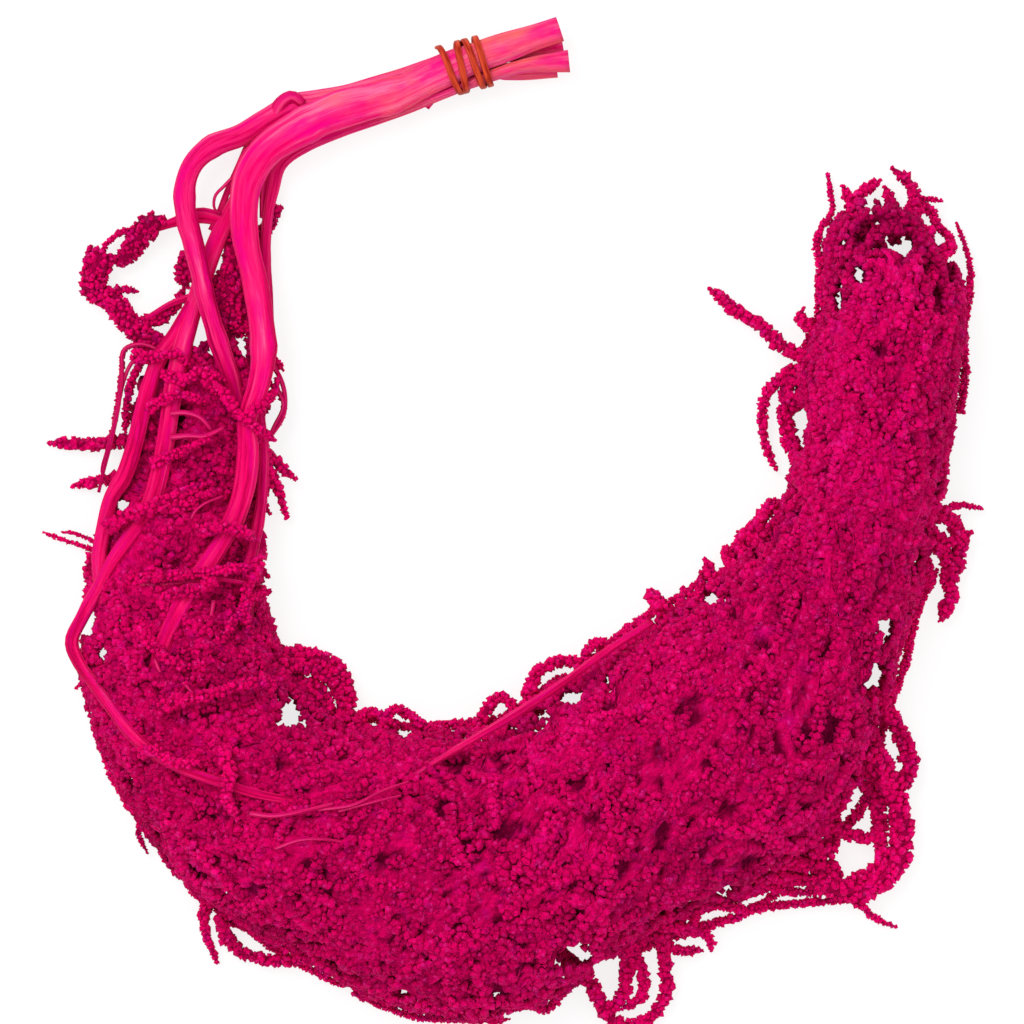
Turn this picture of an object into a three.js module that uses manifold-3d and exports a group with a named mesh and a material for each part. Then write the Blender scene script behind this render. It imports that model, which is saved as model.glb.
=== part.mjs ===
// A cut bunch of hanging amaranth, dried and dyed, lying in a wide hook on a flat surface.
// Four ribbed stems are held near their cut ends by an elastic band and carry sprays of beaded tassels.
// Millimetres, +Z up. The origin is on the surface, under the middle of the bunch.

import * as THREE from "three";
import Module from "manifold-3d";

const wasm = await Module();
wasm.setup();
const { lerp } = THREE.MathUtils;

// Driving dimensions, in millimetres.
// Places are given on a plan, seen from above: x to the right and y down from its top left corner, and z up.
const PLAN_MIDDLE_X = 205;
const PLAN_MIDDLE_Y = 210.1;
const CLEARANCE = 0.35; // between one node and the next
const RIB_SIDES = 8; // corners of a stem's section, every second one on a rib
const RIB_DEPTH = 0.12; // share of the stem's half width
const STEM_STEP = 16; // along a stem
const BUMP_HIGH = 1.16; // a tassel's radius on a cluster of florets
const BUMP_LOW = 0.78; // and between clusters
const BUMP_STEP = 1.7; // from ring to ring along a tassel, in radii
const LEAST_STEP = 4.2; // and in millimetres, at least
const TASSEL_SIDES = 6;
const SLIM_SIDES = 4;
const SLIM_RADIUS = 3.6; // a tassel thinner than this is slim
const TIP_LENGTH = 0.9; // of a tassel's pointed end, in radii
const TASSEL_SPACING = 12.4; // between tassels packed side by side, which are larger than life
const PACKED_STEP = 8; // from cluster to dip along a packed tassel
const RIDGE_DIP = 2.6; // below the skin, between two clusters
const BETWEEN_DIP = 6.2; // below the skin, between two tassels
const UNEVEN = 1.6; // up or down of every point by chance, in all
const RIDGE_SWAY = 1.2; // up and down along a packed tassel
const SWAY_TURN = 0.55; // radians a step
const UNDER_INSET = 3; // of the underside, from the edges
const UNDER_DIP = 4.3; // above the surface, between two tassels of the underside
const SHORTEST_STATION = 20; // from one station to the next along the inner edge
const SURFACE_SINK = 0.5; // how far a tassel on the surface is pressed flat
const ROUNDNESS = 0.8; // of the section of a stem and of the mass, from 1 for an ellipse to 0 for a box
const BAND_ROUNDNESS = 0.7;

const BAND_WIDTH = 2.7;
const BAND_THICKNESS = 1.5;
const BAND_HALF_WIDTH = 10.1;
const BAND_HALF_HEIGHT = 8.2;

const STEM_PINK = 0xf8347f;
const STEM_ROSE = 0xf21869;
const TASSEL_CRIMSON = 0xae0446;
const BAND_ORANGE = 0xc9301f;

// A point of the plan in the part's own frame.
function at([x, y, z]) {
  return new THREE.Vector3(x - PLAN_MIDDLE_X, PLAN_MIDDLE_Y - y, z);
}

// The same numbers between 0 and 1 for the same seed.
function randomFrom(seed) {
  let state = seed;
  return () => {
    state = (state + 0x6d2b79f5) | 0;
    let mixed = Math.imul(state ^ (state >>> 15), 1 | state);
    mixed = (mixed + Math.imul(mixed ^ (mixed >>> 7), 61 | mixed)) ^ mixed;
    return ((mixed ^ (mixed >>> 14)) >>> 0) / 2 ** 32;
  };
}

function throughPoints(points) {
  return new THREE.CatmullRomCurve3(points, false, "centripetal");
}

// A closed solid from its corners and triangles, turned the right way out.
function solidFrom(corners, triangles) {
  const vertProperties = new Float32Array(corners.flatMap((p) => [p.x, p.y, p.z]));
  let volume = 0;
  for (const [a, b, c] of triangles) {
    volume += corners[a].dot(new THREE.Vector3().crossVectors(corners[b], corners[c]));
  }
  const facing = volume < 0 ? triangles.map(([a, b, c]) => [a, c, b]) : triangles;
  return new wasm.Manifold(
    new wasm.Mesh({ numProp: 3, vertProperties, triVerts: new Uint32Array(facing.flat()) }),
  );
}

// A skin over rings that all have the same number of points, closed by a point at each end.
function skin(rings, first, last) {
  const sides = rings[0].length;
  const corners = [...rings.flat(), first, last];
  const triangles = [];
  for (let ring = 0; ring + 1 < rings.length; ring++) {
    for (let side = 0; side < sides; side++) {
      const a = ring * sides + side;
      const b = ring * sides + ((side + 1) % sides);
      triangles.push([a, b, b + sides], [a, b + sides, a + sides]);
    }
  }
  const end = (rings.length - 1) * sides;
  for (let side = 0; side < sides; side++) {
    const next = (side + 1) % sides;
    triangles.push([next, side, corners.length - 2]);
    triangles.push([end + side, end + next, corners.length - 1]);
  }
  return solidFrom(corners, triangles);
}

// Rings square to a curve, at equal steps, each from a list of offsets: to its side and up.
function ringsAlong(curve, count, sectionAt) {
  const rings = [];
  for (let k = 0; k <= count; k++) {
    const share = k / count;
    const middle = curve.getPointAt(share);
    const along = curve.getTangentAt(share);
    const side = new THREE.Vector3(along.y, -along.x, 0).normalize();
    const up = new THREE.Vector3().crossVectors(side, along).normalize();
    rings.push(
      sectionAt(share, k).map(([a, b]) =>
        middle.clone().addScaledVector(side, a).addScaledVector(up, b),
      ),
    );
  }
  return rings;
}

// A flattened, ribbed stem. Each point of its route is x, y, z, width, thickness.
function stemSolid(route, grow) {
  const curve = throughPoints(route.map(at));
  const sizes = new THREE.CatmullRomCurve3(
    route.map(([, , , width, thickness]) => new THREE.Vector3(width, thickness, 0)),
    false,
    "catmullrom",
  );
  const count = Math.max(2, Math.round(curve.getLength() / STEM_STEP));
  const section = (share) => {
    const size = sizes.getPoint(curve.getUtoTmapping(share));
    return Array.from({ length: RIB_SIDES }, (_, i) => {
      const angle = (2 * Math.PI * (i + 0.5)) / RIB_SIDES;
      const a = (size.x / 2) * Math.sign(Math.cos(angle)) * Math.abs(Math.cos(angle)) ** ROUNDNESS;
      const b = (size.y / 2) * Math.sign(Math.sin(angle)) * Math.abs(Math.sin(angle)) ** ROUNDNESS;
      const rib = grow || i % 2 ? 1 : 1 - RIB_DEPTH;
      return [a * rib + grow * Math.sign(a), b * rib + grow * Math.sign(b)];
    });
  };
  const first = curve.getPointAt(0).addScaledVector(curve.getTangentAt(0), -grow);
  const last = curve.getPointAt(1).addScaledVector(curve.getTangentAt(1), grow);
  return skin(ringsAlong(curve, count, section), first, last);
}

// How many steps a tassel's skin takes along its route.
function stepsAlong(curve, radius) {
  return Math.max(3, Math.round(curve.getLength() / Math.max(LEAST_STEP, BUMP_STEP * radius)));
}

// A tassel: a rope whose corners stand out and sink back in turn, like clusters of florets.
function tasselSolid({ points, radius, tip }) {
  const curve = throughPoints(points);
  const sides = radius < SLIM_RADIUS ? SLIM_SIDES : TASSEL_SIDES;
  const section = (share, k) =>
    Array.from({ length: sides }, (_, i) => {
      const angle = (2 * Math.PI * (i + 0.5)) / sides;
      const reach = radius * lerp(1, tip, share) * ((i + k) % 2 ? BUMP_HIGH : BUMP_LOW);
      return [reach * Math.cos(angle), reach * Math.sin(angle)];
    });
  const last = curve.getPointAt(1).addScaledVector(curve.getTangentAt(1), radius * tip * TIP_LENGTH);
  return skin(ringsAlong(curve, stepsAlong(curve, radius), section), curve.getPointAt(0), last);
}

// The plain room that a tassel needs, with the clearance round it.
function tasselRoom({ points, radius, tip }) {
  const curve = throughPoints(points);
  const outside = 1 / Math.cos(Math.PI / TASSEL_SIDES);
  const section = (share) => {
    const reach = (radius * lerp(1, tip, share) * BUMP_HIGH + CLEARANCE) * outside;
    return Array.from({ length: TASSEL_SIDES }, (_, i) => {
      const angle = (2 * Math.PI * i) / TASSEL_SIDES;
      return [reach * Math.cos(angle), reach * Math.sin(angle)];
    });
  };
  const beyond = radius * tip * TIP_LENGTH + 2 * CLEARANCE;
  const first = curve.getPointAt(0).addScaledVector(curve.getTangentAt(0), -CLEARANCE);
  const last = curve.getPointAt(1).addScaledVector(curve.getTangentAt(1), beyond);
  return skin(ringsAlong(curve, stepsAlong(curve, radius), section), first, last);
}

// The mass of tassels. Each station along the hook gives its outer edge, its inner edge and its height.
const STATIONS = [
  [57, 138, 108, 134, 12],
  [52, 168, 106, 168, 17],
  [43.5, 200, 105, 200, 23],
  [35, 236, 107, 236, 30],
  [31.5, 272, 115.5, 260, 36],
  [43.5, 313, 139, 284, 44],
  [71.5, 356, 154, 284, 48],
  [116, 391, 172, 285.5, 50],
  [176, 412.5, 196, 283.5, 50],
  [220, 406.5, 222, 269.5, 50],
  [261.5, 381, 245, 252.5, 50],
  [310.5, 362, 273, 232.5, 50],
  [346, 325, 297.5, 210, 48],
  [357, 289, 313.5, 194, 46],
  [367, 256.5, 317, 174, 45],
  [380, 218, 318, 159, 44],
  [385, 178, 315.5, 146, 42],
  [390, 136, 323.5, 121, 40],
  [390, 104, 326.5, 93, 34],
  [372, 73, 339, 74, 20],
];
const OUTER_EDGE = throughPoints(STATIONS.map(([x, y]) => at([x, y, 0])));
const INNER_EDGE = throughPoints(STATIONS.map(([, , x, y]) => at([x, y, 0])));
const LAST_STATION = STATIONS.length - 1;

function heightAt(station) {
  const before = Math.min(Math.floor(station), LAST_STATION - 1);
  return lerp(STATIONS[before][4], STATIONS[before + 1][4], station - before);
}

// A point over the hook: turn runs from 0 at the outer edge over the top to 1 at the inner edge, and inset
// is its depth below the skin.
function overMass(station, turn, inset) {
  const outer = OUTER_EDGE.getPoint(station / LAST_STATION);
  const inner = INNER_EDGE.getPoint(station / LAST_STATION);
  const across = inner.clone().sub(outer).normalize();
  const half = outer.distanceTo(inner) / 2 - inset;
  const angle = Math.PI * turn;
  const point = outer.lerp(inner, 0.5).addScaledVector(across, -half * Math.cos(angle));
  const foot = inset / 2;
  point.z = lerp(foot, heightAt(station) - inset, Math.sin(angle) ** ROUNDNESS);
  return point;
}

// The length of a path over the mass, from one station and turn to another.
function lengthOver(stationA, turnA, stationB, turnB) {
  const path = [0, 0.25, 0.5, 0.75, 1].map((share) =>
    overMass(lerp(stationA, stationB, share), lerp(turnA, turnB, share), 0),
  );
  return throughPoints(path).getLength();
}

// The close-packed tassels of a spray, side by side, as one skin over the spray. Every second point across
// it is on the ridge of a tassel and the others are between two, and each ridge rises and dips in turn.
function packedSolid({ span: [from, to], turns: [turnA, turnB], seed }, grow) {
  const random = randomFrom(seed);
  const middle = (from + to) / 2;
  const turnMiddle = (turnA + turnB) / 2;
  const cosineA = Math.cos(Math.PI * turnA);
  const cosineB = Math.cos(Math.PI * turnB);
  const halfWidth = overMass(middle, 0, 0).distanceTo(overMass(middle, 1, 0)) / 2;
  const over = Math.max(2, Math.round(lengthOver(middle, turnA, middle, turnB) / TASSEL_SPACING));
  const under = Math.max(1, Math.round(((cosineA - cosineB) * halfWidth) / (2 * TASSEL_SPACING)));
  const steps = Math.round(lengthOver(from, turnMiddle, to, turnMiddle) / PACKED_STEP);
  const sways = Array.from({ length: over }, () => 2 * Math.PI * random());
  const wall = CLEARANCE - grow; // the node stands back from its borders, and its room reaches them

  const depthAt = (i, k, turn) => {
    const uneven = UNEVEN * (random() - 0.5) - grow;
    if (i % 2 === 0) {
      return BETWEEN_DIP + uneven;
    }
    const ridge = (i - 1) / 2;
    const dip = (k + ridge) % 2 ? 0 : RIDGE_DIP;
    const sway = RIDGE_SWAY * (1 + Math.sin(sways[ridge] + k * SWAY_TURN)) * Math.sin(Math.PI * turn);
    return Math.max(dip + sway + uneven, -grow);
  };
  const rings = Array.from({ length: steps + 1 }, (_, k) => {
    const station = lerp(from + wall / SHORTEST_STATION, to - wall / SHORTEST_STATION, k / steps);
    const toInner = overMass(station, 1, 0).sub(overMass(station, 0, 0)).setZ(0).normalize();
    const inside = (turn) =>
      toInner.clone().multiplyScalar(turn === turnA ? wall : turn === turnB ? -wall : 0);
    const ring = [];
    for (let i = 0; i <= 2 * over; i++) {
      const turn = lerp(turnA, turnB, i / (2 * over));
      ring.push(overMass(station, turn, depthAt(i, k, turn)).add(inside(turn)));
    }
    for (let i = 2 * under; i >= 0; i--) {
      const evenly = Math.acos(lerp(cosineA, cosineB, i / (2 * under))) / Math.PI;
      const turn = i === 0 ? turnA : i === 2 * under ? turnB : evenly;
      const height = (i % 2 ? -SURFACE_SINK : UNDER_DIP) - grow;
      if (turn > 0 && turn < 1) {
        ring.push(overMass(station, turn, UNDER_INSET).add(inside(turn)).setZ(height));
      }
    }
    return ring;
  });
  const middleOf = (ring) =>
    ring.reduce((sum, p) => sum.add(p), new THREE.Vector3()).divideScalar(ring.length);
  return skin(rings, middleOf(rings[0]), middleOf(rings[steps]));
}

// A tassel laid by hand: its radius, the share of it that is left at the tip, and its route.
function strand(radius, tip, ...route) {
  return { points: route.map(at), radius, tip };
}

// The band: four turns round the bundle. Each turn gives where it crosses the upper edge of the bundle and
// where it crosses the lower edge, along the bundle from its middle.
const BAND_MIDDLE = [186, 26.2, 8.6];
const BAND_LEAN = 0.26; // radians, of the bundle from the x axis
const BAND_TURNS = [
  [-8.6, -3],
  [-0.8, -1.2],
  [2.4, 6.4],
  [6.4, 9.2],
];
const BAND_STEPS = 10; // round one turn

function bandSolids(grow) {
  const along = new THREE.Vector3(Math.cos(BAND_LEAN), Math.sin(BAND_LEAN), 0);
  const across = new THREE.Vector3(-Math.sin(BAND_LEAN), Math.cos(BAND_LEAN), 0);
  const middle = at(BAND_MIDDLE);
  return BAND_TURNS.map(([upper, lower], turn) => {
    const next = BAND_TURNS[turn + 1] ? BAND_TURNS[turn + 1][0] : upper - 2;
    const rings = [];
    for (let k = 0; k <= BAND_STEPS; k++) {
      const share = k / BAND_STEPS;
      const angle = 2 * Math.PI * share;
      const place = share < 0.5
        ? lerp(upper, lower, 2 * share)
        : lerp(lower, next, 2 * share - 1);
      const flat = (value) => Math.sign(value) * Math.abs(value) ** BAND_ROUNDNESS;
      const out = across.clone().multiplyScalar(flat(Math.cos(angle)) * BAND_HALF_WIDTH);
      out.z = flat(Math.sin(angle)) * BAND_HALF_HEIGHT;
      const centre = middle.clone().addScaledVector(along, place).add(out);
      const outward = across.clone().multiplyScalar(Math.cos(angle)).setZ(Math.sin(angle));
      const w = BAND_WIDTH / 2 + grow;
      const t = BAND_THICKNESS / 2 + grow;
      rings.push(
        [[-w, -t], [-w, t], [w, t], [w, -t]].map(([a, b]) =>
          centre.clone().addScaledVector(along, a).addScaledVector(outward, b),
        ),
      );
    }
    const centreOf = (ring) => ring[0].clone().add(ring[2]).multiplyScalar(0.5);
    return skin(rings, centreOf(rings[0]), centreOf(rings[BAND_STEPS]));
  });
}

// The stems: x, y, z, width and thickness along each route. The first route of each runs from its cut end,
// and the others are its side branches.
const STEMS = {
  stem_front: {
    colour: STEM_PINK,
    routes: [
      [
        [224, 11.6, 12, 10.4, 6.8],
        [208, 16.9, 12.2, 11.4, 7],
        [185.7, 24.8, 12.5, 12.4, 7],
        [175, 30, 12.7, 13, 7.2],
        [160, 37.2, 13, 13.6, 7.4],
        [148, 40.8, 13.6, 14.6, 7.4],
        [136, 44, 14.2, 15.2, 7.4],
        [120, 51.5, 15, 15, 7.4],
        [106, 61, 15.4, 13.8, 7.4],
        [99.4, 72, 15.6, 12, 7.4],
        [97.6, 84, 15.8, 11.4, 7.4],
        [98.8, 96, 16, 11.2, 7.2],
        [102.4, 112, 16.6, 10.8, 7],
        [105, 127, 17.6, 10.4, 7],
        [106, 142, 18.8, 10.2, 6.8],
        [103.4, 155, 20, 9.4, 6.5],
        [99.2, 168, 21.5, 7.8, 6],
        [99.6, 181, 23, 8.8, 6.2],
        [98, 195, 24, 9, 6.2],
        [94.6, 206, 24.5, 8.4, 6],
        [89.6, 216, 25.5, 8, 6],
        [84, 225, 27.5, 8, 5.8],
        [74, 240, 30.5, 8, 5.4],
        [66.4, 256, 32, 6.4, 4.8],
        [62, 268, 31, 4.4, 3.8],
      ],
    ],
  },
  stem_looped: {
    colour: STEM_ROSE,
    routes: [
      [
        [225.2, 17.8, 5, 8, 6.2],
        [208, 20.6, 5, 7.4, 6.6],
        [184.8, 21.2, 5, 6.2, 6.4],
        [172, 26, 5, 7, 6.4],
        [156, 31.6, 5.2, 7.6, 6.4],
        [140, 36.4, 5.6, 8, 6.4],
        [126, 39.6, 6.2, 9.4, 6.8],
        [116.5, 42, 7.2, 11, 7.4],
        [107, 47.6, 8.6, 9, 6.4],
        [96, 53, 10.5, 9.2, 6.2],
        [84.5, 57.5, 12.4, 9.2, 6.2],
        [76.5, 64.5, 14, 9.2, 6],
        [73.2, 74, 15.4, 8.8, 6],
        [74.6, 86, 16.4, 8.4, 5.8],
        [77.4, 97, 17, 8.2, 5.6],
        [80, 108, 17.2, 8, 5.6],
        [82.6, 120, 17, 7.8, 5.4],
        [86, 132, 16.4, 7.6, 5.4],
        [89.6, 143, 15.2, 7.4, 5.2],
        [92.8, 152.5, 13, 7, 5],
        [94.6, 163, 10.5, 6.2, 5],
        [91, 178, 9.5, 5.6, 4.6],
        [85, 194, 9.5, 4.6, 4],
      ],
    ],
  },
  stem_long: {
    colour: STEM_PINK,
    routes: [
      [
        [222.8, 27, 4.6, 7.4, 6],
        [208, 28.4, 4.7, 6.8, 6.2],
        [186.6, 28, 4.9, 6.2, 6.4],
        [172, 33.8, 5, 6.6, 6.2],
        [150, 42, 5.2, 7, 6],
        [130, 50, 5.4, 7, 6],
        [114, 59, 5.6, 7, 6],
        [101.5, 70, 6, 7, 5.8],
        [93.4, 82, 6.6, 7, 5.6],
        [87.5, 94, 7.6, 7.2, 5.6],
        [82.5, 107, 8.4, 7.4, 5.6],
        [78, 121, 9.4, 7.6, 5.6],
        [73.8, 136, 12, 7.6, 5.4],
        [70.6, 150, 16, 7.6, 5.4],
        [68.5, 163, 19, 7.6, 5.4],
        [66.5, 177, 20.5, 7.8, 5.4],
        [64, 190, 21, 8, 5.4],
        [60, 203, 21.5, 7.4, 5.2],
        [52, 215, 21.5, 6.4, 5],
        [45, 225, 20, 6, 4.8],
        [39, 236, 18, 5.6, 4.6],
        [33, 247, 16.5, 5.4, 4.4],
        [28.8, 256.5, 15.5, 5.4, 4.2],
        [31.5, 264.5, 17, 5.2, 4.2],
        [38.5, 274, 23, 5, 4],
        [46, 284, 30, 5, 4],
        [53.5, 293, 36, 5, 4],
        [61, 299.5, 40, 4.8, 3.8],
        [74, 306.5, 45, 4.8, 3.8],
        [88, 311.5, 48, 4.6, 3.6],
        [106, 317, 50, 4.4, 3.6],
        [126, 319.5, 51, 4.2, 3.4],
        [146, 317, 50, 4, 3.4],
        [161, 311.5, 47.5, 4, 3.4],
        [176, 303, 44, 3.8, 3.2],
        [192, 293.5, 39, 3.6, 3.2],
        [208, 284, 35.5, 3.6, 3],
        [224, 273.5, 33, 3.4, 3],
        [240, 262, 28, 3.2, 2.8],
        [260, 249, 25, 3, 2.6],
      ],
      [
        [79.5, 117, 9, 5.4, 4.6],
        [71, 132, 10.5, 6, 5],
        [63.6, 144, 13.5, 6.6, 5],
        [59.8, 154, 15.5, 6.6, 5],
        [56.4, 168, 17, 6.6, 5],
        [53.2, 181, 17.5, 6.8, 5],
        [49.6, 191, 17.5, 6.8, 5],
        [44.8, 199, 17, 6.6, 5],
        [42, 210, 17, 6.4, 4.8],
        [39.8, 224, 17, 6, 4.6],
        [42, 240, 17, 5.8, 4.4],
        [46, 255, 18, 5, 4],
      ],
      [
        [90, 88, 7, 5.4, 4.4],
        [80, 86, 7.2, 6.8, 4.4],
        [70, 88.5, 7.2, 4, 3.4],
        [61.5, 91.5, 7, 3, 2.8],
      ],
      [
        [78, 118, 8.6, 3, 2.6],
        [68, 121.5, 7, 2.6, 2.4],
        [58, 127.5, 6, 2.2, 2.2],
      ],
    ],
  },
  stem_inner: {
    colour: STEM_ROSE,
    routes: [
      [
        [227.6, 24.4, 11.6, 9, 6.6],
        [208, 26.6, 11, 5.6, 7.6],
        [187.8, 33.4, 9, 4, 8.6],
        [174, 39, 8.2, 4.2, 7.4],
        [160, 45, 7.6, 5, 6.4],
        [136, 53, 7, 6.4, 6],
        [121, 59.5, 6.8, 7, 6],
        [112.5, 67, 6.8, 6.8, 5.8],
        [108.8, 76, 6.8, 5.6, 5],
        [107, 86, 7, 4.4, 4.4],
        [106, 100, 7.4, 4.2, 4],
        [107, 120, 8.4, 4.4, 4],
        [107.4, 140, 9.6, 4.6, 4],
        [105, 156, 10.5, 4.8, 4.2],
        [103.5, 166, 12, 5, 4.2],
        [105.2, 178, 15, 5, 4.2],
        [105.2, 190, 16, 5, 4.2],
        [104.4, 202, 16.5, 4.8, 4],
        [102, 216, 17, 4.8, 4],
        [99.4, 230, 21, 4.8, 4],
        [99.6, 246, 23, 4, 3.6],
      ],
    ],
  },
};

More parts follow.
